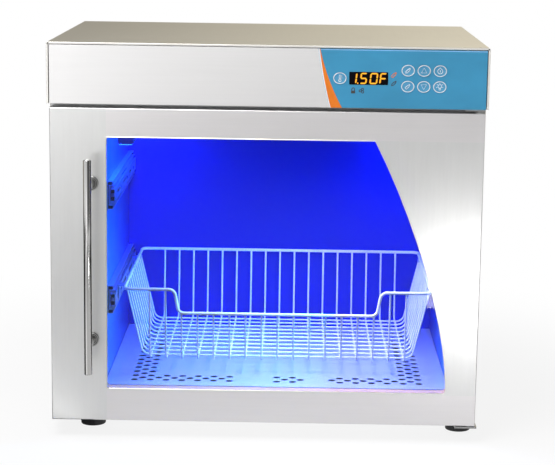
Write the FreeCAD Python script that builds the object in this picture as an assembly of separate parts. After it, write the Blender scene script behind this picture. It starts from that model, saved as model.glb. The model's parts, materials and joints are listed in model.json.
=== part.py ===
"""Countertop fluid warming cabinet: a heated steel chamber, a glazed door hung on its
right side, a control head above the door and a wire basket on telescopic slides.

Lengths are millimetres. X runs to the cabinet's right, Z up, Y to the back. While a piece
is modelled, Y is its depth behind the plane of the door's face; save() moves every piece
into the part's own frame, whose origin is the middle of the footprint at table level.
"""

import FreeCAD, Part
import math
import os

from FreeCAD import Vector

os.makedirs("parts", exist_ok=True)

# Driving dimensions: the casing
BODY_WIDTH = 662.0
BODY_DEPTH = 470.0
BODY_BOTTOM = 26.0
BODY_TOP = 611.0
SHEET = 1.2
CASING_BEND = 2.5
HALF = BODY_WIDTH / 2
INNER_HALF = HALF - SHEET

# The control head, which overhangs the door
HEAD_BOTTOM = 519.0
HEM = 3.0
HEM_DEPTH = 10.0
HEAD_GAP = 1.0
PANEL_FACE = 0.6

# The door
DOOR_HALF = 327.0
DOOR_BOTTOM = 28.0
DOOR_TOP = 513.0
DOOR_THICK = 33.0
INNER_PAN = 1.0
GASKET_GAP = 0.3
GASKET_THICK = 6.0
FRAME_FACE = DOOR_THICK + GASKET_THICK + GASKET_GAP

# The window: three straight sides and one swept side, drawn as a cubic curve
WINDOW_LEFT = -242.0
WINDOW_BOTTOM = 79.0
WINDOW_TOP = 469.5
WINDOW_SWEEP = [(163.0, 469.5), (225.0, 353.4), (279.7, 185.3), (279.7, 83.0)]
SWEEP_OUTWARD = [(0.60, 1.0), (0.88, 0.47), (1.0, 0.0), (1.0, 0.0)]
WINDOW_CORNER = 4.0
GLASS = 4.0
PANE_GROW = 12.0
OUTER_PANE = SHEET + 0.5
INNER_PANE = DOOR_THICK - INNER_PAN - 1.0 - GLASS

# The chamber behind the door
CHAMBER_LEFT = -250.0
CHAMBER_RIGHT = 288.0
CHAMBER_BOTTOM = 68.0
CHAMBER_TOP = 470.0
CHAMBER_BACK = 443.0
CHAMBER_MIDDLE = (CHAMBER_LEFT + CHAMBER_RIGHT) / 2
LINER = 1.0
FLANGE = 12.0
MOUTH = FRAME_FACE + SHEET + LINER
FLOOR_TOP = 75.0
CABLE_RADIUS = 2.0
CABLE_GAP = 5.2
CHASE_WALL = -291.0
PROBE_X = 60.0
PROBE_Z = 456.0
PROBE_RADIUS = 2.5
THERMOSTAT_X = 100.0
THERMOSTAT_Z = 300.0

# The two lamp channels under the ceiling
LAMP_LEFT = -230.0
LAMP_WIDTH = 24.0
LAMP_FRONT = 60.0
LAMP_BACK = 430.0
LAMP_LOW = 452.0
LAMP_WALL = 1.5

# Telescopic slides, 45 mm high, two pairs
SLIDE_FRONT = 90.0
SLIDE_LENGTH = 350.0
SLIDE_SHEET = 1.3
UPPER_SLIDE_Z = 366.0
LOWER_SLIDE_Z = 199.0
BALL_RADIUS = 2.3
BALL_PITCH = 10.5
BALL_COUNT = 8
CAGE_START = 220.0
BALL_ROWS = {"outer": (18.75, 5.5), "inner": (12.55, 8.2)}

# The basket
RIM_LEFT = -224.0
RIM_RIGHT = 2 * CHAMBER_MIDDLE - RIM_LEFT
RIM_FRONT = 95.0
RIM_BACK = 430.0
RIM_Z = 216.0
DIP_Z = 178.0
DIP_HALF_TOP = 163.5
DIP_HALF_BOTTOM = 157.0
RIM_BEND = 11.0
RIM_RADIUS = 2.5
WIRE_RADIUS = 1.5
WIRE_PITCH = 25.4
BASKET_FLOOR = 99.0
SIDE_LEAN = 27.0
END_LEAN = 15.0
LONG_WIRES = 17
CROSS_WIRES = 11
FIRST_CROSS = 128.0

# The hinge, on a vertical axis
HINGE_X = 319.0
HINGE_DEPTH = 12.0
PIN_RADIUS = 4.0
PIN_CLEARANCE = 0.05
BUSH_RADIUS = 6.0
BRACKET_SHEET = 3.0
BLOCK_HEIGHT = 20.0
BLOCK_LEFT = 303.0

# The handle
HANDLE_X = -264.5
HANDLE_REACH = 52.0
HANDLE_RADIUS = 6.0
HANDLE_BOTTOM = 114.5
HANDLE_TOP = 441.8
POST_HEIGHTS = (157.0, 399.0)
ROSE_RADIUS = 11.0

# The magnetic catch, on the handle's side
CATCH_X = -305.0
CATCH_Z = 282.0

# The control overlay, its display and its keys
OVERLAY_EDGE = [(74.4, 608.0), (81.4, 566.0), (92.8, 519.0)]
DISPLAY = (121.6, 179.8, 553.8, 573.1)
KEY_HALF_WIDTH = 10.2
KEY_HALF_HEIGHT = 8.8
KEY_GAP = 0.35
KEY_LIP = 0.45
KEYS = {
    "key_display": (107.7, 563.3),
    "key_bottle": (209.1, 576.0),
    "key_up": (232.9, 576.0),
    "key_power": (256.8, 576.0),
    "key_bag": (209.1, 552.2),
    "key_down": (232.9, 552.2),
    "key_light": (256.8, 552.2),
}
BOARD = (90.0, 296.0, 532.0, 598.0)
BOARD_DEPTH = 22.0
BOARD_SHEET = 1.6
BOARD_POST_INSET = 6.0
CHIP = (188.0, 213.0, 550.0, 575.0)

# Feet, and the gland that the mains lead enters by
FOOT_RADIUS = 21.0
FOOT_X = (-272.0, 308.0)
FOOT_DEPTHS = (80.0, 420.0)
GLAND_X = -250.0
GLAND_Z = 560.0
GLAND_BORE = 4.5
GLAND_REACH = 14.0

# Screws: two through the top into the head, the others round the rear sheet
TOP_SCREWS = [(-318.0, 12.0), (318.0, 12.0)]
REAR_SCREWS = [(x, z) for z in (60.0, 250.0, 440.0, 596.0) for x in (-318.0, 318.0)]
REAR_SCREWS += [(x, z) for z in (34.0, 600.0) for x in (-110.0, 110.0)]

# The footprint runs from the handle's front to the gland's end
FRONT_Y = (HANDLE_REACH + HANDLE_RADIUS - BODY_DEPTH - GLAND_REACH) / 2

ALONG_X = Vector(1, 0, 0)
ALONG_Y = Vector(0, 1, 0)
ALONG_Z = Vector(0, 0, 1)


def block(x0, x1, y0, y1, z0, z1):
    return Part.makeBox(x1 - x0, y1 - y0, z1 - z0, Vector(x0, y0, z0))


def rod(radius, start, length, axis):
    return Part.makeCylinder(radius, length, Vector(*start), axis)


def fuse(shapes):
    return shapes[0].multiFuse(shapes[1:]).removeSplitter()


def ring_block(outer, inner, y0, y1):
    """A flat rectangular frame: outer and inner are (x0, x1, z0, z1)."""
    whole = block(outer[0], outer[1], y0, y1, outer[2], outer[3])
    hole = block(inner[0], inner[1], y0 - 1, y1 + 1, inner[2], inner[3])
    return whole.cut(hole)


def mirrored(shape):
    """The same piece on the chamber's other side."""
    return shape.mirror(Vector(CHAMBER_MIDDLE, 0, 0), ALONG_X)


def rounded_path(points, radius, closed=False):
    """Straight runs joined by tangent arcs of one radius."""
    corners = [Vector(*point) for point in points]
    count = len(corners)
    turning = range(count) if closed else range(1, count - 1)
    arcs = {}
    for index in turning:
        here = corners[index]
        back = (corners[index - 1] - here).normalize()
        ahead = (corners[(index + 1) % count] - here).normalize()
        half_turn = (math.pi - back.getAngle(ahead)) / 2
        setback = radius * math.tan(half_turn)
        inward = (back + ahead).normalize() * (radius / math.cos(half_turn) - radius)
        arcs[index] = (here + back * setback, here + inward, here + ahead * setback)
    edges = []
    for index in range(count if closed else count - 1):
        following = (index + 1) % count
        start = arcs[index][2] if index in arcs else corners[index]
        end = arcs[following][0] if following in arcs else corners[following]
        if (end - start).Length > 1e-6:
            edges.append(Part.LineSegment(start, end).toShape())
        if following in arcs:
            edges.append(Part.Arc(*arcs[following]).toShape())
    return Part.Wire(edges)


def tube(path, radius):
    """A round wire or cable along a path."""
    first = path.OrderedEdges[0]
    start = first.valueAt(first.FirstParameter)
    heading = first.tangentAt(first.FirstParameter)
    section = Part.Wire([Part.makeCircle(radius, start, heading)])
    return path.makePipeShell([section], True, False)


def window_wire(grow):
    """The window's outline in the plane of the door's face, grown by some millimetres."""
    x0 = WINDOW_LEFT - grow
    z0 = WINDOW_BOTTOM - grow
    z1 = WINDOW_TOP + grow
    r = WINDOW_CORNER + grow
    sweep = [
        Vector(x + grow * out_x, 0, z + grow * out_z)
        for (x, z), (out_x, out_z) in zip(WINDOW_SWEEP, SWEEP_OUTWARD)
    ]
    x1 = sweep[-1].x
    curve = Part.BezierCurve()
    curve.setPoles(sweep)
    return Part.Wire([
        Part.LineSegment(sweep[0], Vector(x0 + r, 0, z1)).toShape(),
        quarter_turn(x0 + r, z1 - r, r, 90),
        Part.LineSegment(Vector(x0, 0, z1 - r), Vector(x0, 0, z0 + r)).toShape(),
        quarter_turn(x0 + r, z0 + r, r, 180),
        Part.LineSegment(Vector(x0 + r, 0, z0), Vector(x1 - r, 0, z0)).toShape(),
        quarter_turn(x1 - r, z0 + r, r, 270),
        curve.toShape().reversed(),
    ])


def quarter_turn(x, z, radius, start):
    """A quarter of a circle in the XZ plane, counter-clockwise from an angle in degrees."""
    on_circle = [math.radians(start + step) for step in (0, 45, 90)]
    return Part.Arc(*[
        Vector(x + radius * math.cos(angle), 0, z + radius * math.sin(angle)) for angle in on_circle
    ]).toShape()


def window_prism(grow, y0, y1):
    face = Part.Face(window_wire(grow))
    prism = face.extrude(Vector(0, y1 - y0, 0))
    return prism.translated(Vector(0, y0, 0))


def window_ring(grow_outer, grow_inner, y0, y1):
    return window_prism(grow_outer, y0, y1).cut(window_prism(grow_inner, y0 - 1, y1 + 1))


def ellipse_prism(x, z, half_width, half_height, y0, y1):
    outline = Part.Ellipse(Vector(0, 0, 0), half_width, half_height).toShape()
    face = Part.Face(Part.Wire([outline]))
    face.rotate(Vector(0, 0, 0), ALONG_X, 90)
    return face.extrude(Vector(0, y1 - y0, 0)).translated(Vector(x, y0, z))


# The casing


def outer_wrap():
    """One folded sheet over both sides and the top, hemmed round the control head."""
    def arch(half, top, radius):
        low = BODY_BOTTOM
        corners = [(-half, 0, low), (-half, 0, top), (half, 0, top), (half, 0, low)]
        foot = Part.LineSegment(Vector(half, 0, low), Vector(-half, 0, low)).toShape()
        outline = Part.Wire(rounded_path(corners, radius).Edges + [foot])
        return Part.Face(outline).extrude(Vector(0, BODY_DEPTH, 0))

    bend = CASING_BEND
    wrap = arch(HALF, BODY_TOP, bend).cut(arch(INNER_HALF, BODY_TOP - SHEET, bend - SHEET))
    wrap = wrap.cut(block(-HALF - 1, HALF + 1, -1, FRAME_FACE, BODY_BOTTOM - 1, HEAD_BOTTOM))
    hem_half = HALF - HEM
    hem_top = BODY_TOP - HEM
    hems = [
        block(-INNER_HALF, -hem_half, 0, HEM_DEPTH, HEAD_BOTTOM, hem_top),
        block(hem_half, INNER_HALF, 0, HEM_DEPTH, HEAD_BOTTOM, hem_top),
        block(-INNER_HALF + bend, INNER_HALF - bend, 0, HEM_DEPTH, hem_top, BODY_TOP - SHEET),
    ]
    screw_holes = [rod(3.1, (x, y, BODY_TOP - 5), 10, ALONG_Z) for x, y in TOP_SCREWS]
    return fuse([wrap] + hems).cut(screw_holes)


def head_front_panel():
    """The head's face, folded back under the overhang, pierced for display and keys."""
    half = HALF - HEM - HEAD_GAP
    top = BODY_TOP - HEM - HEAD_GAP
    face = block(-half, half, PANEL_FACE, PANEL_FACE + SHEET, HEAD_BOTTOM, top)
    under = block(-half, half, PANEL_FACE, FRAME_FACE, HEAD_BOTTOM, HEAD_BOTTOM + SHEET)
    over = block(-half, half, PANEL_FACE, 14, top - SHEET, top)
    panel = fuse([face, under, over])
    screw_holes = [rod(1.6, (x, y, top - 5), 10, ALONG_Z) for x, y in TOP_SCREWS]
    return panel.cut(control_openings(PANEL_FACE - 1, PANEL_FACE + SHEET + 0.1) + screw_holes)


def control_openings(y0, y1):
    x0, x1, z0, z1 = DISPLAY
    holes = [ellipse_prism(x, z, KEY_HALF_WIDTH, KEY_HALF_HEIGHT, y0, y1) for x, z in KEYS.values()]
    holes.append(block(x0, x1, y0, y1, z0, z1))
    return holes


def front_frame():
    """The flat steel face round the chamber's mouth, which the door gasket meets."""
    outer = (-INNER_HALF, INNER_HALF, BODY_BOTTOM, HEAD_BOTTOM)
    mouth = (CHAMBER_LEFT, CHAMBER_RIGHT, CHAMBER_BOTTOM, CHAMBER_TOP)
    return ring_block(outer, mouth, FRAME_FACE, FRAME_FACE + SHEET)


def back_panel():
    """The rear sheet, with a row of vent slots behind the head and the gland's hole."""
    top = BODY_TOP - SHEET
    panel = block(-INNER_HALF, INNER_HALF, BODY_DEPTH - SHEET, BODY_DEPTH, BODY_BOTTOM, top)
    across = [edge for edge in panel.Edges if edge.BoundBox.YLength > SHEET / 2]
    upper_corners = [edge for edge in across if edge.BoundBox.ZMin > top - 1]
    panel = panel.makeFillet(CASING_BEND - SHEET, upper_corners)
    slots = []
    for row in range(3):
        for column in range(9):
            x = -110 + column * 48
            z = 540 + row * 18
            slots.append(block(x, x + 36, BODY_DEPTH - 5, BODY_DEPTH + 5, z, z + 5))
    gland_hole = rod(9, (GLAND_X, BODY_DEPTH - 5, GLAND_Z), 10, ALONG_Y)
    return panel.cut(slots + [gland_hole])


def base_pan():
    """The bottom sheet, turned up along both sides."""
    y0 = FRAME_FACE + SHEET
    y1 = BODY_DEPTH - SHEET
    pieces = [block(-INNER_HALF, INNER_HALF, y0, y1, BODY_BOTTOM, BODY_BOTTOM + SHEET)]
    for x0 in (-INNER_HALF, INNER_HALF - SHEET):
        pieces.append(block(x0, x0 + SHEET, y0, y1, BODY_BOTTOM, BODY_BOTTOM + 20))
    pan = fuse(pieces)
    holes = [rod(3.1, (x, y, BODY_BOTTOM - 1), 5, ALONG_Z) for x in FOOT_X for y in FOOT_DEPTHS]
    return pan.cut(holes)


def electronics_tray():
    """The shelf between the chamber's insulation and the head's electronics."""
    y0 = FRAME_FACE + SHEET + 0.2
    y1 = BODY_DEPTH - SHEET
    floor = block(-INNER_HALF, INNER_HALF, y0, y1, HEAD_BOTTOM, HEAD_BOTTOM + SHEET)
    lips = [
        block(-INNER_HALF, -INNER_HALF + SHEET, y0, y1, HEAD_BOTTOM, HEAD_BOTTOM + 15),
        block(INNER_HALF - SHEET, INNER_HALF, y0, y1, HEAD_BOTTOM, HEAD_BOTTOM + 15),
    ]
    return fuse([floor] + lips)


# The chamber


def chamber_liner():
    """A steel box open to the front, with a flange behind the front frame."""
    outer = block(
        CHAMBER_LEFT - LINER, CHAMBER_RIGHT + LINER, MOUTH - LINER, CHAMBER_BACK + LINER,
        CHAMBER_BOTTOM - LINER, CHAMBER_TOP + LINER,
    )
    flange = block(
        CHAMBER_LEFT - FLANGE, CHAMBER_RIGHT + FLANGE, MOUTH - LINER, MOUTH,
        CHAMBER_BOTTOM - FLANGE, CHAMBER_TOP + FLANGE,
    )
    hollow = block(CHAMBER_LEFT, CHAMBER_RIGHT, MOUTH - 5, CHAMBER_BACK, CHAMBER_BOTTOM, CHAMBER_TOP)
    probe_hole = rod(PROBE_RADIUS, (PROBE_X, CHAMBER_BACK - 5, PROBE_Z), 10, ALONG_Y)
    return fuse([outer, flange]).cut([hollow, probe_hole])


def chamber_insulation():
    """Five slabs round the liner, spaced off it by the heating cable."""
    low = BODY_BOTTOM + SHEET + 0.2
    high = HEAD_BOTTOM - 0.2
    front = MOUTH + 0.5
    back = BODY_DEPTH - SHEET - 0.3
    left = CHAMBER_LEFT - LINER - CABLE_GAP
    right = CHAMBER_RIGHT + LINER + CABLE_GAP
    below = CHAMBER_BOTTOM - LINER - CABLE_GAP
    above = CHAMBER_TOP + LINER + CABLE_GAP
    outer_right = INNER_HALF - SHEET - 0.2
    rear_slab = block(left + 0.2, right - 0.2, CHAMBER_BACK + LINER + 0.5, back, below, above)
    pockets = [
        rod(5, (PROBE_X, CHAMBER_BACK, PROBE_Z), 30, ALONG_Y),
        rod(14, (THERMOSTAT_X, CHAMBER_BACK, THERMOSTAT_Z), 15, ALONG_Y),
    ]
    screw_pockets = [rod(5, (x, y, low), 9, ALONG_Z) for x in FOOT_X for y in FOOT_DEPTHS]
    return Part.makeCompound([
        block(CHASE_WALL, outer_right, front, back, low, below - 0.2).cut(screw_pockets),
        block(CHASE_WALL, left, front, back, below, high),
        block(right, outer_right, front, back, below, high),
        block(left + 0.2, right - 0.2, front, back, above + 0.2, high),
        rear_slab.cut(pockets),
    ])


def heating_cable():
    """One cable wound to and fro round the liner's two sides and bottom."""
    clear = LINER + 0.6 + CABLE_RADIUS
    left = CHAMBER_LEFT - clear
    right = CHAMBER_RIGHT + clear
    below = CHAMBER_BOTTOM - clear
    top = 430.0
    runs = 8
    pitch = 47.0
    first_run = 80.0
    points = []
    for run in range(runs):
        depth = first_run + run * pitch
        turn = [(left, depth, top), (left, depth, below), (right, depth, below), (right, depth, top)]
        points += turn if run % 2 == 0 else turn[::-1]
    return tube(rounded_path(points, 2 * CABLE_RADIUS), CABLE_RADIUS)


def floor_plate():
    """A lift-out false floor: two folded feet, and holes along its front and both sides."""
    left = CHAMBER_LEFT + 0.5
    right = CHAMBER_RIGHT - 0.5
    front = MOUTH + 0.5
    back = CHAMBER_BACK - 0.5
    plate = block(left, right, front, back, FLOOR_TOP - SHEET, FLOOR_TOP)
    feet = [
        block(left, right, front, front + SHEET, CHAMBER_BOTTOM, FLOOR_TOP),
        block(left, right, back - SHEET, back, CHAMBER_BOTTOM, FLOOR_TOP),
    ]
    holes = [rod(5.8, (x, y, FLOOR_TOP - 5), 10, ALONG_Z) for x, y in floor_holes()]
    return fuse([plate] + feet).cut(holes)


def floor_holes():
    """Centres of the staggered holes: three rows along the front, three down each side."""
    pitch = 25.0
    step = pitch / 2
    inset = 39.0
    first_row = 72.0
    side_rows = 13
    places = []
    span = CHAMBER_RIGHT - CHAMBER_LEFT - 2 * inset
    columns = int(span / step)
    start = CHAMBER_MIDDLE - columns * step / 2
    plain = ((13, 17), (22, 24))
    for column in range(columns + 1):
        if any(low <= column <= high for low, high in plain):
            continue
        for row in range(3):
            if (row + column) % 2 == 0:
                places.append((start + column * step, first_row + row * step))
    for side in (-1, 1):
        edge = CHAMBER_MIDDLE + side * columns * step / 2
        for row in range(3, 2 * side_rows + 2):
            for column in range(3):
                if (row + column) % 2 == 0:
                    places.append((edge - side * column * step, first_row + row * step))
    return places


def lamp_housings():
    """Two channels under the chamber's ceiling that hold the light strips."""
    channel = block(LAMP_LEFT, LAMP_LEFT + LAMP_WIDTH, LAMP_FRONT, LAMP_BACK, LAMP_LOW, CHAMBER_TOP)
    hollow = block(
        LAMP_LEFT + LAMP_WALL, LAMP_LEFT + LAMP_WIDTH - LAMP_WALL,
        LAMP_FRONT + LAMP_WALL, LAMP_BACK - LAMP_WALL, LAMP_LOW - 1, CHAMBER_TOP - LAMP_WALL,
    )
    strip_board = block(
        LAMP_LEFT + 6, LAMP_LEFT + LAMP_WIDTH - 6, LAMP_FRONT + 5, LAMP_BACK - 5,
        CHAMBER_TOP - 4, CHAMBER_TOP - LAMP_WALL,
    )
    housing = fuse([channel.cut(hollow), strip_board])
    return Part.makeCompound([housing, mirrored(housing)])


def lamp_lenses():
    """Opal covers clipped into the lamp channels."""
    inset = LAMP_WALL + 0.1
    lens = block(
        LAMP_LEFT + inset, LAMP_LEFT + LAMP_WIDTH - inset, LAMP_FRONT + inset, LAMP_BACK - inset,
        LAMP_LOW - 2, LAMP_LOW + 2,
    )
    return Part.makeCompound([lens, mirrored(lens)])


def temperature_probe():
    """A steel-sheathed probe through the rear wall, under the ceiling."""
    stem = rod(PROBE_RADIUS - 0.1, (PROBE_X, CHAMBER_BACK - 70, PROBE_Z), 88, ALONG_Y)
    collar = rod(4.5, (PROBE_X, CHAMBER_BACK + LINER, PROBE_Z), 6, ALONG_Y)
    return fuse([stem, collar])


def limit_thermostat():
    """The over-temperature cut-out, fixed to the back of the liner."""
    disc = rod(12.5, (THERMOSTAT_X, CHAMBER_BACK + LINER, THERMOSTAT_Z), 5, ALONG_Y)
    cap = rod(8, (THERMOSTAT_X, CHAMBER_BACK + LINER + 5, THERMOSTAT_Z), 5, ALONG_Y)
    tab_start = CHAMBER_BACK + LINER + 10
    tabs = []
    for x in (THERMOSTAT_X - 5, THERMOSTAT_X + 4):
        tabs.append(block(x, x + 1, tab_start, tab_start + 4, THERMOSTAT_Z - 3, THERMOSTAT_Z + 3))
    return fuse([disc, cap] + tabs)


# The slides: each member is a channel, given by its half height and its reach off the wall


def channel(centre_z, half_height, reach_from, reach_to, web_from):
    """One slide member on the left wall: two flanges and a web, with slots in the web."""
    x0 = CHAMBER_LEFT + reach_from
    x1 = CHAMBER_LEFT + reach_to
    web = CHAMBER_LEFT + web_from
    y0 = SLIDE_FRONT
    y1 = SLIDE_FRONT + SLIDE_LENGTH
    low = centre_z - half_height
    high = centre_z + half_height
    member = fuse([
        block(x0, x1, y0, y1, high - SLIDE_SHEET, high),
        block(x0, x1, y0, y1, low, low + SLIDE_SHEET),
        block(web, web + SLIDE_SHEET, y0, y1, low, high),
    ])
    slots = []
    for start in (y0 + 30, y0 + 130, y0 + 230):
        slots.append(block(web - 1, web + SLIDE_SHEET + 1, start, start + 45, centre_z - 3, centre_z + 3))
    return member.cut(slots)


def outer_member(centre_z):
    return channel(centre_z, 22.5, 0.0, 8.5, 0.0)


def middle_member(centre_z):
    return channel(centre_z, 16.3, 2.5, 11.2, 2.5)


def inner_member(centre_z):
    return channel(centre_z, 10.1, 5.2, 12.7, 12.7 - SLIDE_SHEET)


def ball_strips(centre_z, row):
    """The two ball retainers, above and below, between a pair of members."""
    height, reach = BALL_ROWS[row]
    strips = []
    for side in (-1, 1):
        z = centre_z + side * height
        x = CHAMBER_LEFT + reach
        length = BALL_PITCH * BALL_COUNT
        pieces = [block(x - 2.1, x + 2.1, CAGE_START, CAGE_START + length, z - 0.4, z + 0.4)]
        for ball in range(BALL_COUNT):
            centre = Vector(x, CAGE_START + (ball + 0.5) * BALL_PITCH, z)
            pieces.append(Part.makeSphere(BALL_RADIUS, centre))
        strips.append(fuse(pieces))
    return strips


def both_sides(shapes):
    return Part.makeCompound(shapes + [mirrored(shape) for shape in shapes])


def slide_end_stops():
    """Plastic bumpers in the front ends of the fixed members."""
    stops = []
    for centre_z in (UPPER_SLIDE_Z, LOWER_SLIDE_Z):
        for low in (16.5, -21.1):
            stops.append(block(
                CHAMBER_LEFT + 1.4, CHAMBER_LEFT + 8.4, SLIDE_FRONT + 0.5, SLIDE_FRONT + 10,
                centre_z + low, centre_z + low + 4.6,
            ))
    return both_sides(stops)


# The basket


def rim_path():
    dip_top = DIP_HALF_TOP
    dip_low = DIP_HALF_BOTTOM
    mid = CHAMBER_MIDDLE
    outline = [
        (RIM_LEFT, RIM_BACK, RIM_Z), (RIM_LEFT, RIM_FRONT, RIM_Z),
        (mid - dip_top, RIM_FRONT, RIM_Z), (mid - dip_low, RIM_FRONT, DIP_Z),
        (mid + dip_low, RIM_FRONT, DIP_Z), (mid + dip_top, RIM_FRONT, RIM_Z),
        (RIM_RIGHT, RIM_FRONT, RIM_Z), (RIM_RIGHT, RIM_BACK, RIM_Z),
    ]
    return rounded_path(outline, RIM_BEND, closed=True)


def rim_height(path, x):
    """The height of the rim's centre line over one place along the front."""
    post = Part.makeLine(Vector(x, RIM_FRONT, DIP_Z - 20), Vector(x, RIM_FRONT, RIM_Z + 20))
    return path.distToShape(post)[1][0][0].z


def basket_rim():
    return tube(rim_path(), RIM_RADIUS)


def basket_long_wires(rim):
    """Wires from front to back: down from the rim, along the bottom and up again."""
    path = rim_path()
    wires = []
    for index in range(LONG_WIRES):
        x = CHAMBER_MIDDLE + (index - (LONG_WIRES - 1) / 2) * WIRE_PITCH
        front_top = rim_height(path, x)
        bends = [
            (x, RIM_FRONT, front_top), (x, RIM_FRONT + END_LEAN, BASKET_FLOOR),
            (x, RIM_BACK - END_LEAN, BASKET_FLOOR), (x, RIM_BACK, RIM_Z),
        ]
        wires.append(tube(rounded_path(bends, 14), WIRE_RADIUS).cut(rim))
    return Part.makeCompound(wires)


def basket_cross_wires(rim):
    """Wires from side to side, lying on the long ones."""
    z = BASKET_FLOOR + 2 * WIRE_RADIUS + 0.05
    wires = []
    for index in range(CROSS_WIRES):
        depth = FIRST_CROSS + index * WIRE_PITCH
        bends = [
            (RIM_LEFT, depth, RIM_Z), (RIM_LEFT + SIDE_LEAN, depth, z),
            (RIM_RIGHT - SIDE_LEAN, depth, z), (RIM_RIGHT, depth, RIM_Z),
        ]
        wires.append(tube(rounded_path(bends, 14), WIRE_RADIUS).cut(rim))
    return Part.makeCompound(wires)


def basket_brackets():
    """Folded lugs that carry the rim on the slides' inner members."""
    face = CHAMBER_LEFT + 12.7
    under_rim = RIM_Z - RIM_RADIUS
    lugs = []
    for gap in (0, CROSS_WIRES - 2):
        middle = FIRST_CROSS + (gap + 0.5) * WIRE_PITCH
        y0 = middle - 9
        y1 = middle + 9
        lugs.append(fuse([
            block(face, face + 1.5, y0, y1, 192, under_rim),
            block(face, RIM_LEFT + 4, y0, y1, under_rim - 1.5, under_rim),
        ]))
    return both_sides(lugs)


# The door


def door_outer_skin():
    """A stainless pan: the door's face and its four folded edges, cut for the window."""
    outer = block(-DOOR_HALF, DOOR_HALF, 0, DOOR_THICK - INNER_PAN, DOOR_BOTTOM, DOOR_TOP)
    front_edges = [edge for edge in outer.Edges if edge.BoundBox.YMax < 0.01]
    outer = outer.makeFillet(1.5, front_edges)
    inner = block(
        -DOOR_HALF + SHEET, DOOR_HALF - SHEET, SHEET, DOOR_THICK,
        DOOR_BOTTOM + SHEET, DOOR_TOP - SHEET,
    )
    height = DOOR_TOP - DOOR_BOTTOM
    holes = [rod(BUSH_RADIUS, (HINGE_X, HINGE_DEPTH, DOOR_BOTTOM - 1), height + 2, ALONG_Z)]
    for z in POST_HEIGHTS:
        holes.append(rod(2.6, (HANDLE_X, -1, z), 5, ALONG_Y))
    return outer.cut([inner, window_prism(0, -1, 5)] + holes)


def door_inner_pan():
    """The door's rear sheet, folded forward inside the outer skin."""
    sheet = block(-DOOR_HALF, DOOR_HALF, DOOR_THICK - INNER_PAN, DOOR_THICK, DOOR_BOTTOM, DOOR_TOP)
    x = DOOR_HALF - SHEET
    z0 = DOOR_BOTTOM + SHEET
    z1 = DOOR_TOP - SHEET
    outer = (-x, x, z0, z1)
    inner = (-x + INNER_PAN, x - INNER_PAN, z0 + INNER_PAN, z1 - INNER_PAN)
    fold = ring_block(outer, inner, DOOR_THICK - 10, DOOR_THICK - INNER_PAN)
    shaft = rod(BUSH_RADIUS + 3, (HINGE_X, HINGE_DEPTH, z0 - 1), z1 - z0 + 2, ALONG_Z)
    return fuse([sheet, fold]).cut([window_prism(2, DOOR_THICK - 5, DOOR_THICK + 5), shaft])


def window_pane_outer():
    return window_prism(PANE_GROW, OUTER_PANE, OUTER_PANE + GLASS)


def window_pane_inner():
    return window_prism(PANE_GROW, INNER_PANE, INNER_PANE + GLASS)


def pane_spacer():
    """The metal frame between the two panes; its sill shows under the glass."""
    return window_ring(9, 1.5, OUTER_PANE + GLASS, INNER_PANE)


def window_seals():
    front = window_ring(PANE_GROW, 2, SHEET, OUTER_PANE)
    rear = window_ring(PANE_GROW, 4, INNER_PANE + GLASS, DOOR_THICK - INNER_PAN)
    return Part.makeCompound([front, rear])


def hinge_block_boxes():
    z0 = DOOR_BOTTOM + SHEET
    z1 = DOOR_TOP - SHEET
    return [
        (BLOCK_LEFT, DOOR_HALF - SHEET, SHEET, DOOR_THICK - 10.2, z0, z0 + BLOCK_HEIGHT),
        (BLOCK_LEFT, DOOR_HALF - SHEET, SHEET, DOOR_THICK - 10.2, z1 - BLOCK_HEIGHT, z1),
    ]


def hinge_blocks():
    """Steel blocks welded into the door's two hinge corners."""
    shaft = rod(BUSH_RADIUS, (HINGE_X, HINGE_DEPTH, DOOR_BOTTOM), DOOR_TOP - DOOR_BOTTOM, ALONG_Z)
    return Part.makeCompound([block(*box).cut(shaft) for box in hinge_block_boxes()])


def door_core():
    """Insulating board that fills the door round its window."""
    x = DOOR_HALF - SHEET - INNER_PAN - 0.2
    z0 = DOOR_BOTTOM + SHEET + INNER_PAN + 0.2
    z1 = DOOR_TOP - SHEET - INNER_PAN - 0.2
    core = block(-x, x, SHEET, DOOR_THICK - INNER_PAN, z0, z1)
    removed = [window_prism(PANE_GROW + 0.2, 0, DOOR_THICK)]
    for x0, x1, y0, y1, low, high in hinge_block_boxes():
        removed.append(block(x0 - 0.2, x1, y0 - 1, y1 + 0.2, low - 5, high + 5))
    for z in POST_HEIGHTS:
        removed.append(rod(6.5, (HANDLE_X, 0, z), 7, ALONG_Y))
    return core.cut(removed)


def door_gasket():
    """A silicone seal round the chamber's mouth, with a rounded lip."""
    inner = (CHAMBER_LEFT - 6, CHAMBER_RIGHT + 6, CHAMBER_BOTTOM - 6, CHAMBER_TOP + 6)
    outer = (inner[0] - 14, inner[1] + 14, inner[2] - 14, inner[3] + 14)
    y1 = DOOR_THICK + GASKET_THICK
    seal = ring_block(outer, inner, DOOR_THICK, y1)
    lip_edges = [edge for edge in seal.Edges if edge.BoundBox.YMin > y1 - 0.01]
    return seal.makeFillet(2.5, lip_edges)


def plain_handle_bar():
    start = (HANDLE_X, -HANDLE_REACH, HANDLE_BOTTOM)
    return rod(HANDLE_RADIUS, start, HANDLE_TOP - HANDLE_BOTTOM, ALONG_Z)


def handle_bar():
    bar = plain_handle_bar()
    return bar.makeChamfer(0.8, [edge for edge in bar.Edges if edge.BoundBox.ZLength < 0.01])


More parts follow.
